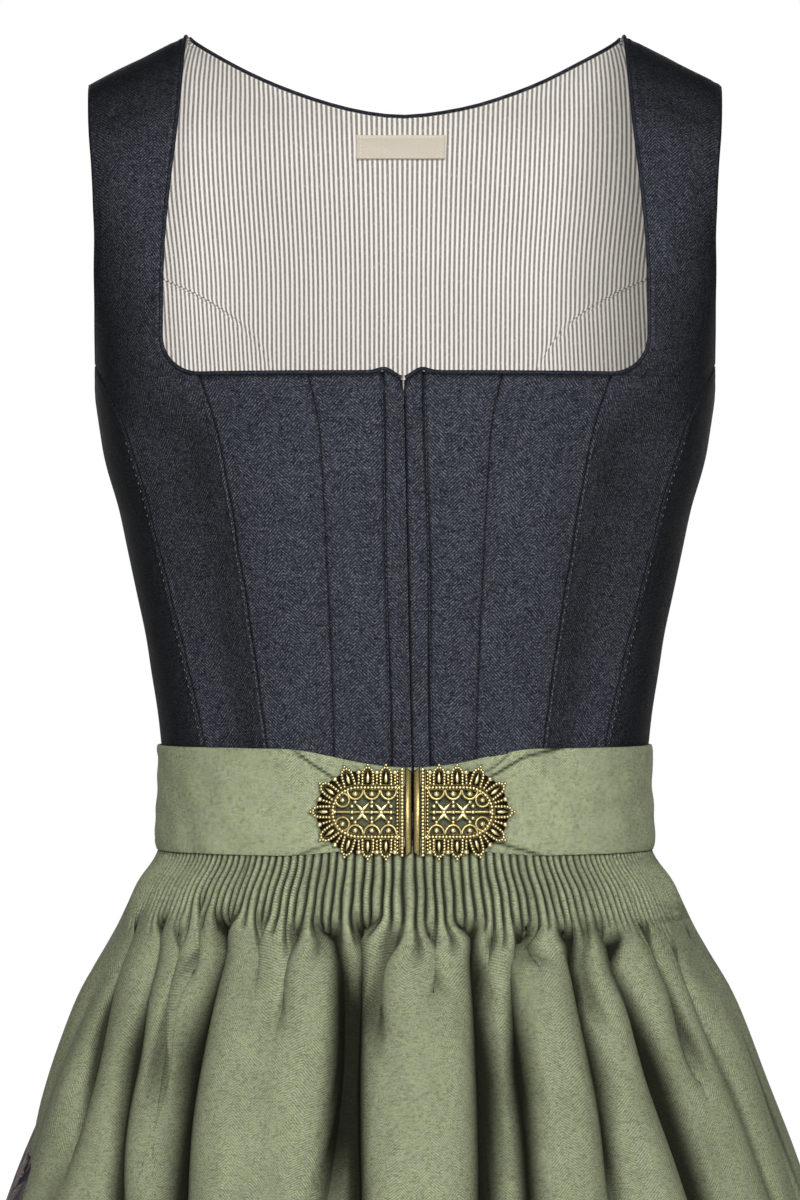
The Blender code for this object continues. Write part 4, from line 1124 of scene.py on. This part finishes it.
apron = dict(wall=0.0008, lift=0.0022, blouse=0.0034, ridge=0.0050, pitch=0.0039, top=-0.0011)
skirt = dict(wall=0.0012, pleat=0.0034, pleatPitch=0.0075)
claspHeight = -0.4014
band = dict(wall=0.0014, gap=0.0010, flare=0.0032, narrowing=0.014, reach=0.50)
bandMeeting = float(angleAt(np.array([0.0037]), np.array([form["waist"]]))[0])


def foldShare(fold, height):
    share = np.maximum((fold["startHeight"] - height) / (fold["startHeight"] - lowHeight), 0)
    return np.where(share > 1, 1 + 0.4 * (1 - np.exp(1 - np.maximum(share, 1))), share)


def foldAngle(fold, height):
    span = fold["lowAngle"] - fold["startAngle"]
    return np.radians(fold["startAngle"] + span * foldShare(fold, height))


def foldDepth(fold, height):
    below = fold["startHeight"] - height
    length = fold["startHeight"] - fold["endHeight"]
    rise = min(foldForm["rise"], 0.40 * length)
    fade = min(foldForm["fade"], 0.60 * length)
    grow = smoothStep(below / rise) * (1 + foldForm["growth"] * np.maximum(below - rise, 0))
    return fold["depth"] * grow * smoothStep((height - fold["endHeight"]) / fade)


def foldField(angle, height, radius):
    press, slide, paintedShade = (np.zeros(angle.shape) for _ in range(3))
    spread = 1 + 1.1 * np.maximum(lowHeight - height, 0)
    for fold in folds:
        turn = (angle - foldAngle(fold, height) + np.pi) % (2 * np.pi) - np.pi
        arc = turn * radius
        length = fold["startHeight"] - fold["endHeight"]
        left = (height - fold["endHeight"]) / length
        grown = spread * (0.42 + 0.58 * smoothStep((fold["startHeight"] - height) / 0.085))
        grown = grown * (0.55 + 0.45 * smoothStep(left / 0.8))
        lipSide = -1.0 if fold["leftWidth"] < fold["rightWidth"] else 1.0
        narrow = np.maximum(min(fold["leftWidth"], fold["rightWidth"]) * grown, foldForm["narrowest"])
        wide = np.maximum(max(fold["leftWidth"], fold["rightWidth"]) * grown, foldForm["narrowestWide"])
        onLip = arc * lipSide > 0
        core = np.where(onLip, np.exp(-np.abs(arc / narrow) ** 1.15),
                        np.exp(-np.abs(arc / wide) ** 1.35))
        depth = foldDepth(fold, height) * foldForm["scale"]
        lip = np.exp(-((arc * lipSide - 2.2 * narrow) / (1.3 * narrow)) ** 2)
        around = np.exp(-(arc / (2.5 * wide)) ** 2)
        press += depth * (0.86 * core + 0.14 * around - foldForm["lip"] * lip)
        over = np.exp(-((arc * lipSide - 1.2 * narrow) / (1.1 * narrow)) ** 2)
        carry = np.minimum(foldForm["slide"] * depth, 1.5 * narrow)
        slide -= lipSide * carry * over * smoothStep(left / 0.6)
        # Painted shade fills each trough; more of the slope is painted dark in deep troughs and in those at
        # the sides
        slant = np.maximum(smoothStep(np.abs(np.sin(angle)) / 0.5), 0.95 * (fold["depth"] > 0.0205))
        even = 0.16 if 1 / 1.4 < fold["rightWidth"] / fold["leftWidth"] < 1.4 else 0.0
        low, high = 0.30 + even - 0.24 * slant, 0.66 + even - 0.32 * slant
        shade = smoothStep((core - low) / (high - low)) * min(0.45 + fold["depth"] / 0.026, 1.0)
        reach = smoothStep((fold["startHeight"] + 0.004 - height) / 0.010) * smoothStep(left / 0.45)
        paintedShade = np.maximum(paintedShade, shade * reach)
    return foldForm["most"] * np.tanh(press / foldForm["most"]), slide, paintedShade


def driftMap(height, angles):
    starts = [-np.pi] + [math.radians(f["startAngle"]) for f in folds] + [np.pi]
    drifts = [float(foldAngle(f, np.array(height))) - math.radians(f["startAngle"]) for f in folds]
    return angles + np.interp(angles, starts, [0.0] + drifts + [0.0])


def skirtSurface(angle, height, under=None):
    x, y = sectionXY(skirtSections, angle, height)
    flat = np.stack([x, y - form["ridgeY"]], axis=-1)
    radius = np.linalg.norm(flat, axis=-1)
    press, slide, paintedShade = foldField(angle, height, radius)
    if under is not None:
        # The layer under the apron keeps clear of its troughs on both sides
        for side in (-1, -0.5, 0.5, 1):
            beside = foldField(angle + side * 0.007 / radius, height, radius)[0]
            press = press + np.maximum(beside - press, 0) * under
        press = press + 0.0045 * under * smoothStep((-0.424 - height) / 0.012)
    below = smoothStep((-0.462 - height) / 0.05)
    streak = softNoise(angle * 0.17, height * 0.13, 31, 9, 0.030) * 0.0020 * below
    dent = softNoise(angle * 0.17, height, 32, 9, 0.11) * 0.0011 * below
    x, y = sectionXY(skirtSections, angle + slide / radius, height)
    flat = np.stack([x, y - form["ridgeY"]], axis=-1)
    length = np.linalg.norm(flat, axis=-1)
    out = flat / length[..., None] * (length - press + streak + dent)[..., None]
    return np.stack([out[..., 0], out[..., 1] + form["ridgeY"], height], axis=-1), paintedShade


def flowHeights(bottom, top, counts, cuts):
    edges = [top] + [c for c in cuts if bottom < c < top] + [bottom]
    pieces = [np.linspace(a, b, n + 1)[:-1] for a, b, n in zip(edges, edges[1:], counts)]
    return np.concatenate(pieces + [[bottom]])[::-1]


def ridgeColumns(first, last, pitch, seed):
    rng = random.Random(seed)
    edges = [first]
    while edges[-1] < last:
        edges.append(edges[-1] + pitch * rng.uniform(0.86, 1.16))
    edges = np.array(edges[:-1])
    edges = first + (edges - first) * (last - first) / (edges[-1] - first)
    inner = np.array([0, 0.09, 0.27, 0.50, 0.73, 0.91])
    widths = np.diff(edges)
    columns = (edges[:-1, None] + widths[:, None] * inner[None, :]).reshape(-1)
    rise = np.tile(np.clip(1 - (2 * inner - 1) ** 2, 0, 1) ** 0.42, len(widths))
    ridge = np.repeat(np.arange(len(widths)), len(inner))
    return np.append(columns, edges[-1]), np.append(rise, 0.0), np.append(ridge, len(widths) - 1)


def fitApronEdges(angles, height, first, last):
    # The part beyond 60 degrees each side stretches to meet the apron's own edges
    turn = math.radians(60)
    ends = driftMap(height, np.array([first, last]))
    low = math.radians(float(smoothValues(apronEdges, "left", np.array(height))))
    high = math.radians(float(smoothValues(apronEdges, "right", np.array(height))))
    angles = np.where(angles < -turn, -turn + (angles + turn) * (low + turn) / (ends[0] + turn), angles)
    return np.where(angles > turn, turn + (angles - turn) * (high - turn) / (ends[1] - turn), angles)


def gatherGrid(heights, first, last, pitch, seed):
    columns, rise, ridge = ridgeColumns(first, last, pitch, seed)
    rng = random.Random(seed + 1)
    count = ridge.max() + 1
    middles = columns[np.searchsorted(ridge, np.arange(count))]
    phase = np.interp(columns, middles, [rng.uniform(0, 6.3) for _ in range(count)])
    size = np.array([rng.uniform(0.85, 1.10) for _ in range(count)])[ridge]
    # Each valley between two ridges has its own end, and some run on
    ends = np.array([apronEnds(a) + rng.uniform(-0.0035, 0.0035) for a in middles])
    runs = np.array([rng.uniform(0.006, 0.024) if rng.random() < 0.45 else 0.003 for _ in range(count)])
    side = np.where(np.arange(len(columns)) % 6 < 3, ridge, np.minimum(ridge + 1, count - 1))
    ends, runs = ends[side], runs[side]
    points, paintedShade = [], []
    for height in heights:
        gathered = float(smoothStep((height + 0.470) / 0.012))
        angles = columns + 0.0016 * gathered * np.sin(height * 240 + phase)
        angles = fitApronEdges(driftMap(height, angles), height, first, last)
        meeting = np.minimum(np.abs(angles - bandMeeting), 9)
        narrowing = band["narrowing"] * (1 - smoothStep(meeting / band["reach"]))
        lift = (0.35 * narrowing + 0.0012) * float(smoothStep((height + 0.437) / 0.012))
        row, dark = skirtSurface(angles, np.full(angles.shape, height))
        row[:, 2] += lift
        points.append(row)
        paintedShade.append(dark)
    points, paintedShade = np.array(points), np.array(paintedShade)
    normals = gridNormals(points)
    tall = apron["ridge"] * (0.55 + 0.45 * smoothStep((-0.4255 - heights) / 0.010))[:, None]
    fromEdge = np.minimum(columns - first, last - columns) * 0.16
    base = smoothStep((-0.4265 - heights) / 0.020)[:, None] * smoothStep(fromEdge / 0.040)[None, :]
    base = apron["lift"] + apron["blouse"] * base
    above = heights[:, None] - ends[None, :]
    cut = np.maximum(smoothStep((above + 0.001) / 0.007), 0.75 * smoothStep((above + runs) / runs))
    valley = tall * (1 - rise[None, :]) * size[None, :] * cut
    gathered = smoothStep((above + 0.004) / 0.012)
    # Painted shade in the valleys between gathers, and a faint painted shade over the apron below them, which
    # leaves the gathered ridges lighter
    paintedShade = np.maximum(paintedShade, cut ** 0.6 * np.clip(2.2 * (1 - rise[None, :]), 0, 1))
    paintedShade = np.maximum(paintedShade, 0.29 * (1 - gathered))
    return points + normals * (base - valley)[..., None], paintedShade


def apronEnds(angle):
    return -0.4530 - 0.0105 * math.exp(-(angle / 0.9) ** 2) - 0.003 * smoothStep(angle / 1.2)


def buildApron():
    heights = flowHeights(apronHem, bandBottom + apron["top"], (20, 34, 20), (-0.478, -0.640))
    first, last = math.radians(-97), math.radians(100)
    points, paintedShade = gatherGrid(heights, first, last, apron["pitch"] / 0.122, 7)
    # Columns keep one spacing all the way down, apart from the sides, where the edge is cut slanted
    steps = np.linalg.norm(np.diff(points, axis=1), axis=-1)
    angles = np.arctan2(points[..., 0], form["ridgeY"] - points[..., 1])[:, 1:]
    common = np.broadcast_to(steps[16:50].mean(axis=0), steps.shape)
    steps = np.where(np.abs(angles[30:31]) > math.radians(58), steps, common)
    across = np.concatenate([np.zeros((len(points), 1)), np.cumsum(steps, axis=1)], axis=1)
    across = across - across[:, across.shape[1] // 2][:, None]
    uv = np.stack([across, arcAlong(points, 0)], axis=-1)
    piece = addCloth("apron_skirt_cloth", points, apron["wall"], apronLinen, uv=uv, paintedShade=paintedShade)
    declareCloth(piece, points, "apron_skirt",
                 (arcAlong(points, 1)[:, -1].max(), arcAlong(points, 0)[-1].max()))


def buildSkirt():
    gores = (("skirt_back_left", -180, -112), ("skirt_front_left", -112, 0),
             ("skirt_front_right", 0, 112), ("skirt_back_right", 112, 180))
    heights = flowHeights(skirtHem, -0.4003, (16, 26, 24), (-0.478, -0.640))
    for name, start, end in gores:
        gap = 0.00002
        first, last = math.radians(start) + gap, math.radians(end) - gap
        columns, rise, ridge = ridgeColumns(first, last, skirt["pleatPitch"] / 0.115, 40 + start)
        rng = random.Random(start)
        count = ridge.max() + 1
        ends = np.array([-0.462 - rng.uniform(0, 0.014) for _ in range(count)])[ridge]
        # Pleats stand out only where no apron lies over them, and below the waistband
        bare = smoothStep((np.abs(np.degrees(columns)) - 78) / 10)
        points, paintedShade = [], []
        for height in heights:
            angles = driftMap(height, columns)
            row, dark = skirtSurface(angles, np.full(angles.shape, height), 1 - bare)
            points.append(row)
            paintedShade.append(dark)
        points, paintedShade = np.array(points), np.array(paintedShade)
        normals = gridNormals(points)
        fade = smoothStep((heights[:, None] - ends[None, :]) / 0.012)
        fade = fade * smoothStep((-0.4235 - heights[:, None]) / 0.005)
        cut = fade * smoothStep((np.abs(np.degrees(columns)) - 98) / 6)[None, :]
        points = points + normals * (skirt["pleat"] * (rise[None, :] - 1) * cut)[..., None]
        # Painted shade in the valleys between the pleats
        paintedShade = np.maximum(paintedShade, cut * (1 - rise[None, :]))
        reference = arcAlong(points, 1)[len(points) // 3]
        across = np.broadcast_to(reference, points.shape[:2])
        uv = np.stack([across, arcAlong(points, 0)], axis=-1)
        piece = addCloth(f"{name}_cloth", points, skirt["wall"], skirtJacquard, uv=uv, paintedShade=paintedShade)
        declareCloth(piece, points, name,
                     (arcAlong(points, 1)[:, -1].max(), arcAlong(points, 0)[-1].max()))


# Waistband

# Each crease runs from under the clasp out to the band's edge: arc from the meeting and share
# of the band's height where it starts, turns and ends. The cloth beyond it lies deeper.
bandCreases = [dict(zip("side edge step arcs shares".split(), row)) for row in (
    (-1, 1, 0.0016, (0.010, 0.034, 0.052), (0.55, 0.80, 1.00)),
    (1, 1, 0.0014, (0.010, 0.034, 0.050, 0.074), (0.55, 0.79, 0.93, 1.01)),
    (1, 1, 0.0010, (0.010, 0.036, 0.046), (0.66, 0.88, 1.02)),
    (-1, -1, 0.0010, (0.010, 0.034, 0.050), (0.30, 0.09, -0.01)),
    (1, -1, 0.0013, (0.010, 0.036, 0.060), (0.30, 0.11, 0.00)))]


def bandSurface(angle, share, meeting):
    fromFront = np.minimum(angle - meeting, meeting + 2 * np.pi - angle)
    narrowing = band["narrowing"] * (1 - smoothStep(fromFront / band["reach"]))
    bottom = bandBottom + 0.35 * narrowing
    top = bandTop - 0.65 * narrowing
    height = bottom + (top - bottom) * share
    x, y = sectionXY(bodiceSections, angle, height)
    flat = unit(np.stack([x, y - form["ridgeY"], np.zeros_like(x)], axis=-1))
    out = band["wall"] + band["gap"] + band["flare"] * smoothStep(1 - share)
    arc = fromFront * 0.118
    side = np.where(angle - meeting < np.pi, 1.0, -1.0)
    paintedShade = np.zeros(angle.shape)
    for crease in bandCreases:
        line = np.interp(arc, crease["arcs"], crease["shares"])
        beyond = (share - line) * crease["edge"] * (bandTop - bandBottom)
        inside = (side == crease["side"]) * smoothStep((crease["arcs"][-1] + 0.004 - arc) / 0.010)
        inside = inside * smoothStep((arc - 0.024) / 0.008)
        groove = np.exp(-(beyond / 0.0009) ** 2) * inside
        out = out - crease["step"] * (smoothStep(beyond / 0.0022 + 0.3) * inside + 0.5 * groove)
        # Painted shade along each crease's groove
        paintedShade = np.maximum(paintedShade, groove * min(crease["step"] / 0.0014, 1.0))
    # Soft dimples where the clasp's tips press in, and long shallow ripples
    dimple = np.exp(-((arc - 0.056) / 0.006) ** 2 - ((share - 0.62) / 0.10) ** 2)
    dimple = dimple + 0.8 * np.exp(-((arc - 0.064) / 0.010) ** 2 - ((share - 0.30) / 0.05) ** 2)
    edgeRoll = 0.0007 * (np.exp(-(share / 0.03) ** 2) + np.exp(-((1 - share) / 0.03) ** 2))
    ripple = 0.00040 * softNoise(arc * side, height * 2.2, 77, 8, 0.035)
    pressed = 0.0015 * np.exp(-(arc / 0.050) ** 2) * smoothStep(1.1 * (1 - share))
    out = out + 0.0006 * np.exp(-(arc / 0.045) ** 2) - pressed - 0.0011 * dimple - edgeRoll + ripple
    # Painted shade behind the clasp's openwork, and faintly over the band's front, fading to the sides
    below = smoothStep((0.0405 - arc) / 0.004) * smoothStep((0.0150 - np.abs(height - claspHeight)) / 0.003)
    paintedShade = np.maximum(paintedShade, np.maximum(0.74 * below, 0.13 * np.cos(angle).clip(0, 1)))
    return np.stack([x, y, height], axis=-1) + flat * out[..., None], paintedShade


def buildBand():
    turns = np.concatenate([np.linspace(0.004, 0.75, 190), np.linspace(0.75, 2 * math.pi - 0.75, 180)[1:-1],
                            np.linspace(2 * math.pi - 0.75, 2 * math.pi - 0.004, 190)])
    shares = np.concatenate([[0, 0.012, 0.03, 0.055], np.linspace(0.08, 0.92, 38), [0.945, 0.97, 0.988, 1.0]])
    angle, share = np.meshgrid(bandMeeting + turns, shares)
    points, paintedShade = bandSurface(angle, share, bandMeeting)
    across = arcAlong(points, 1)
    uv = np.stack([across[len(shares) // 2][None, :] + 0 * across, share * 0.054 + 0.2], axis=-1)
    piece = addCloth("apron_waistband_cloth", points, band["wall"], apronLinen, uv=uv, paintedShade=paintedShade)
    declareCloth(piece, points, "apron_waistband")


buildBand()
buildApron()
buildSkirt()
print("skirt and apron ready")


# Clasp

clasp = dict(x=0.0037, z=claspHeight, lift=0.0008, bow=2.45, front=-0.0992)


def bulletPath(half, reach, straight, count=60, start=0.006):
    top = [(u, half) for u in np.linspace(start, straight, count // 3)]
    turn = np.linspace(math.pi / 2, -math.pi / 2, count)[1:-1]
    end = [(straight + (reach - straight) * math.cos(t), half * math.sin(t)) for t in turn]
    return top + end + [(u, -v) for u, v in reversed(top)]


def pathPlaces(path, count, ends=False):
    points = np.array(path)
    arc = np.concatenate([[0], np.cumsum(np.linalg.norm(np.diff(points, axis=0), axis=1))])
    places = np.linspace(0, arc[-1], count) if ends else (np.arange(count) + 0.5) / count * arc[-1]

    def pointAt(place):
        return np.stack([np.interp(place, arc, points[:, 0]), np.interp(place, arc, points[:, 1])], axis=-1)

    return pointAt(places), unit(pointAt(places + 1e-4) - pointAt(places - 1e-4))


def arcPath(center, radius, start, end, turn=0.0, squash=1.0, count=18, lift=0.0):
    path = []
    for t in np.linspace(math.radians(start), math.radians(end), count):
        u, v = radius * math.cos(t), radius * squash * math.sin(t)
        path.append((center[0] + u * math.cos(turn) - v * math.sin(turn),
                     center[1] + u * math.sin(turn) + v * math.cos(turn), lift))
    return path


def archPath(half, leg, tip, steps=7):
    right = [(half, leg * i / 4) for i in range(4)]
    for i in range(steps):
        t = math.pi / 2 * i / steps
        right.append((half * math.cos(t) ** 0.8, leg + (tip - leg) * math.sin(t)))
    return [(-a, b) for a, b in right] + [(0.0, tip)] + right[::-1]


def placedOn(path, base, out, lift):
    along = (out[1], -out[0])
    return [(base[0] + a * along[0] + b * out[0], base[1] + a * along[1] + b * out[1], lift) for a, b in path]


def outwards(place, tangent):
    out = (-tangent[1], tangent[0])
    if out[0] * (place[0] - 0.02) + out[1] * place[1] < 0:
        out = (tangent[1], -tangent[0])
    return out


def filigree():
    beads, wires, drops, balls = [], [], [], []
    # A line of beads between two wires borders the openwork
    inner = bulletPath(0.0124, 0.0395, 0.0265)
    beads.append(([(u, v, 0.0008) for u, v in inner], 0.00172, 0.00180))
    for half, reach in ((0.0136, 0.0407), (0.0112, 0.0383)):
        wires.append(([(u, v, 0.0) for u, v in bulletPath(half, reach, 0.0265)], 0.00050))
    # Beads beside the bar
    beads.append(([(0.0044, v, 0.0010) for v in np.linspace(-0.0216, 0.0216, 26)], 0.00172, 0.00176))
    beads.append(([(0.0068, v, 0.0006) for v in np.linspace(-0.0205, 0.0205, 26)], 0.00172, 0.00156))
    wires.append(([(0.0056, v, 0.0) for v in np.linspace(-0.0215, 0.0215, 12)], 0.00060))
    # Outer border: pointed beaded arches, each round a drop, with balls between them
    outer = bulletPath(0.0141, 0.0412, 0.0268, start=0.0080)
    for place, tangent in zip(*pathPlaces(outer, 9)):
        out = outwards(place, tangent)
        beads.append((placedOn(archPath(0.0027, 0.0042, 0.0083), place, out, 0.0007), 0.00145, 0.00164))
        wires.append((placedOn(archPath(0.0019, 0.0036, 0.0066), place, out, 0.0000), 0.00036))
        drops.append(((place[0] + out[0] * 0.0033, place[1] + out[1] * 0.0033),
                      math.atan2(out[1], out[0]) - math.pi / 2, 0.0030, 0.00105))
        balls.append(((place[0] + out[0] * 0.0096, place[1] + out[1] * 0.0096), 0.00086))
    for place, tangent in zip(*pathPlaces(outer, 10, ends=True)):
        out = outwards(place, tangent)
        for step, size in ((0.0006, 0.00084), (0.0022, 0.00084), (0.0038, 0.00084), (0.0060, 0.00148)):
            balls.append(((place[0] + out[0] * step, place[1] + out[1] * step), size))
    # Openwork inside: half-round loops, two round loops, a middle bar with crosses of drops
    for u in (0.0113, 0.0197, 0.0281):
        for sign in (-1, 1):
            start, end = (180, 360) if sign > 0 else (0, 180)
            wires.append((arcPath((u, sign * 0.0113), 0.0040, start, end, 0, 1.20, 18, 0.0004), 0.00078))
            balls.append(((u, sign * 0.0092), 0.00150))
            balls.append(((u, sign * 0.0050), 0.00105))
    for sign in (-1, 1):
        wires.append((arcPath((0.0345, sign * 0.0060), 0.0034, 0, 360, 0, 1, 24, 0.0004), 0.00072))
        balls.append(((0.0345, sign * 0.0060), 0.00140))
    wires.append(([(u, 0.0, 0.0003) for u in np.linspace(0.0075, 0.0390, 14)], 0.00085))
    balls.append(((0.0385, 0.0), 0.0011))
    for u in (0.0150, 0.0246):
        for step in range(4):
            turn = math.pi / 4 + step * math.pi / 2
            place = (u + 0.0018 * math.cos(turn), 0.0034 * math.sin(turn))
            drops.append((place, turn - math.pi / 2, 0.0034, 0.00105))
        balls.append(((u, 0.0), 0.00150))
    for u in (0.0100, 0.0198, 0.0297):
        for v in (-0.0030, 0.0, 0.0030):
            balls.append(((u, v), 0.00115))
    for place, tangent in zip(*pathPlaces(inner, 22)):
        out = outwards(place, tangent)
        wires.append(([(place[0] - out[0] * 0.001, place[1] - out[1] * 0.001, -0.0002),
                       (place[0] + out[0] * 0.0062, place[1] + out[1] * 0.0062, -0.0002)], 0.00045))
    return beads, wires, drops, balls


def addRing(bm, inside, outside, low, high):
    loops = []
    for path, z in ((inside, low), (inside, high), (outside, high), (outside, low)):
        loops.append([bm.verts.new((u, v, z)) for u, v in path])
    for first, second in zip(loops, loops[1:] + loops[:1]):
        for i in range(len(first) - 1):
            bm.faces.new((first[i], first[i + 1], second[i + 1], second[i]))
    for end in (0, -1):
        bm.faces.new([loop[end] for loop in loops][:: 1 if end else -1])


def buildClasp():
    beads, wires, drops, balls = filigree()
    bm = bmesh.new()

    def takeMesh(mesh):
        bm.from_mesh(mesh)
        bpy.data.meshes.remove(mesh)
    for path, spacing, size in beads:
        takeMesh(strungMesh("beads", [path], spacing, size, size, antiqueBrass))
    sizes = sorted({wire for path, wire in wires})
    for wire in sizes:
        tube = addTube("wires", [path for path, own in wires if own == wire], wire, antiqueBrass, 1)
        takeMesh(tube.data)
    for (u, v), size in balls:
        made = bmesh.ops.create_icosphere(bm, subdivisions=2, radius=size)
        for vert in made["verts"]:
            vert.co = Vector((u, v, 0.0006)) + vert.co
    for (u, v), turn, length, width in drops:
        made = bmesh.ops.create_uvsphere(bm, u_segments=10, v_segments=8, radius=1)
        for vert in made["verts"]:
            x, y, z = vert.co
            taper = 1 - 0.55 * smoothStep((z + 0.2) / 1.2)
            a, b, c = x * width * taper, z * length, y * width * 0.9 * taper
            across = a * math.cos(turn) - b * math.sin(turn)
            along = a * math.sin(turn) + b * math.cos(turn)
            vert.co = (u + across, v + along, 0.0007 + c)
    # A dark flat ring behind the outer border: painted shade in the gaps between the arches, where the cloth
    # behind lies in shadow
    addRing(bm, bulletPath(0.0118, 0.0388, 0.0265), bulletPath(0.0205, 0.0476, 0.0268), -0.0009, -0.0004)
    # The flat bar with bevelled edges, slanted at its ends towards the meeting
    made = bmesh.ops.create_cube(bm, size=1)
    for vert in made["verts"]:
        front = vert.co.z > 0
        inset = 0.0006 if front else 0.0
        across = vert.co.x + 0.5
        end = 0.0205 + 0.0022 * across - inset
        vert.co.x = inset - 0.0004 + (0.0034 - 2 * inset) * across
        vert.co.y = end if vert.co.y > 0 else -end
        vert.co.z = 0.0010 if front else -0.0006
    bmesh.ops.recalc_face_normals(bm, faces=bm.faces)
    flat = bpy.data.meshes.new("clasp_flat")
    bm.to_mesh(flat)
    bm.free()
    for side, sign in (("left", -1), ("right", 1)):
        mesh = flat.copy()
        mesh.name = f"clasp_{side}_filigree"
        if sign < 0:
            mesh.flip_normals()
        count = len(mesh.vertices)
        co = np.empty(count * 3)
        mesh.vertices.foreach_get("co", co)
        co = co.reshape(-1, 3)
        # Height above the base: it sets the brass's dark colour low down and bright colour on top, partly
        # patina and wear, partly painted shade and highlight
        relief = np.clip((co[:, 2] + 0.0002) / 0.0018, 0, 1)
        world = np.stack([clasp["x"] + sign * (clasp["lift"] + co[:, 0]),
                          clasp["front"] - 0.0008 - co[:, 2] + clasp["bow"] * co[:, 0] ** 2,
                          clasp["z"] + co[:, 1]], axis=-1)
        mesh.vertices.foreach_set("co", world.reshape(-1))
        attribute = mesh.attributes.new("relief", "FLOAT", "POINT")
        attribute.data.foreach_set("value", relief.astype(np.float32))
        mesh.materials.clear()
        mesh.materials.append(antiqueBrass)
        mesh.shade_smooth()
        piece = addPiece(mesh.name, mesh)
        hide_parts(f"clasp_{side}")


buildClasp()
print("clasp ready")


# Stage, lights and camera

# Each lamp: name, place, height it points at, width and height, watts
lamps = (("key", (0.35, -3.1, 0.55), -0.45, (1.2, 1.2), 112),
         ("left", (-1.5, -2.7, 0.3), -0.50, (1.2, 1.6), 14),
         ("low", (0.0, -3.0, -0.9), -0.60, (1.6, 0.8), 8),
         ("behind", (-1.0, 3.0, 0.5), -0.50, (1.4, 1.4), 50),
         ("behind", (1.0, 3.0, 0.5), -0.50, (1.4, 1.4), 50))
stage = dict(drop=0.35, halfWidth=3.0, back=2.4, ambient=0.10, viewer=(-0.0026, -3.0, -0.2948),
             viewWidth=0.624, sensor=36)


def addArea(name, place, aimHeight, size, power):
    light = bpy.data.lights.new(name, "AREA")
    light.shape = "RECTANGLE"
    light.size, light.size_y = size
    light.energy = power
    lamp = bpy.data.objects.new(name, light)
    lamp.location = place
    toAim = Vector((0, 0, aimHeight)) - Vector(place)
    lamp.rotation_euler = toAim.to_track_quat("-Z", "Y").to_euler()
    scene.collection.objects.link(lamp)


def buildStage():
    mesh = bpy.data.meshes.new("floor")
    reach, back, height = stage["halfWidth"], stage["back"], skirtHem - stage["drop"]
    corners = ((-reach, -reach), (reach, -reach), (reach, back), (-reach, back))
    mesh.from_pydata([(x, y, height) for x, y in corners], [], [(0, 1, 2, 3)])
    material, n, shader = startMaterial("paleFloor", 0.9)
    where = n.add("ShaderNodeTexCoord").outputs["Object"]
    tone = n.blend(n.noise(where, 6.0), (0.80, 0.80, 0.80, 1), (0.84, 0.84, 0.84, 1))
    n.plug(shader.inputs["Base Color"], tone)
    mesh.materials.append(material)
    floor = bpy.data.objects.new("floor", mesh)
    scene.collection.objects.link(floor)

    world = bpy.data.worlds.new("studio")
    scene.world = world
    world.use_nodes = True
    nodes = Nodes(world.node_tree)
    sky = world.node_tree.nodes["Background"]
    sky.inputs["Color"].default_value = (1, 1, 1, 1)
    seen = nodes.add("ShaderNodeLightPath").outputs["Is Camera Ray"]
    nodes.plug(sky.inputs["Strength"], nodes.between(seen, 0.0, 1.0, stage["ambient"], 1.0))

    for lamp in lamps:
        addArea(*lamp)
    scene.view_settings.view_transform = "Standard"

    camera = bpy.data.cameras.new("camera")
    camera.sensor_width = stage["sensor"]
    camera.lens = -stage["sensor"] * stage["viewer"][1] / stage["viewWidth"]
    viewer = bpy.data.objects.new("camera", camera)
    viewer.location = stage["viewer"]
    viewer.rotation_euler = (math.radians(90), 0, 0)
    scene.collection.objects.link(viewer)
    scene.camera = viewer


buildStage()
print("sheet sizes", sheetSizes)
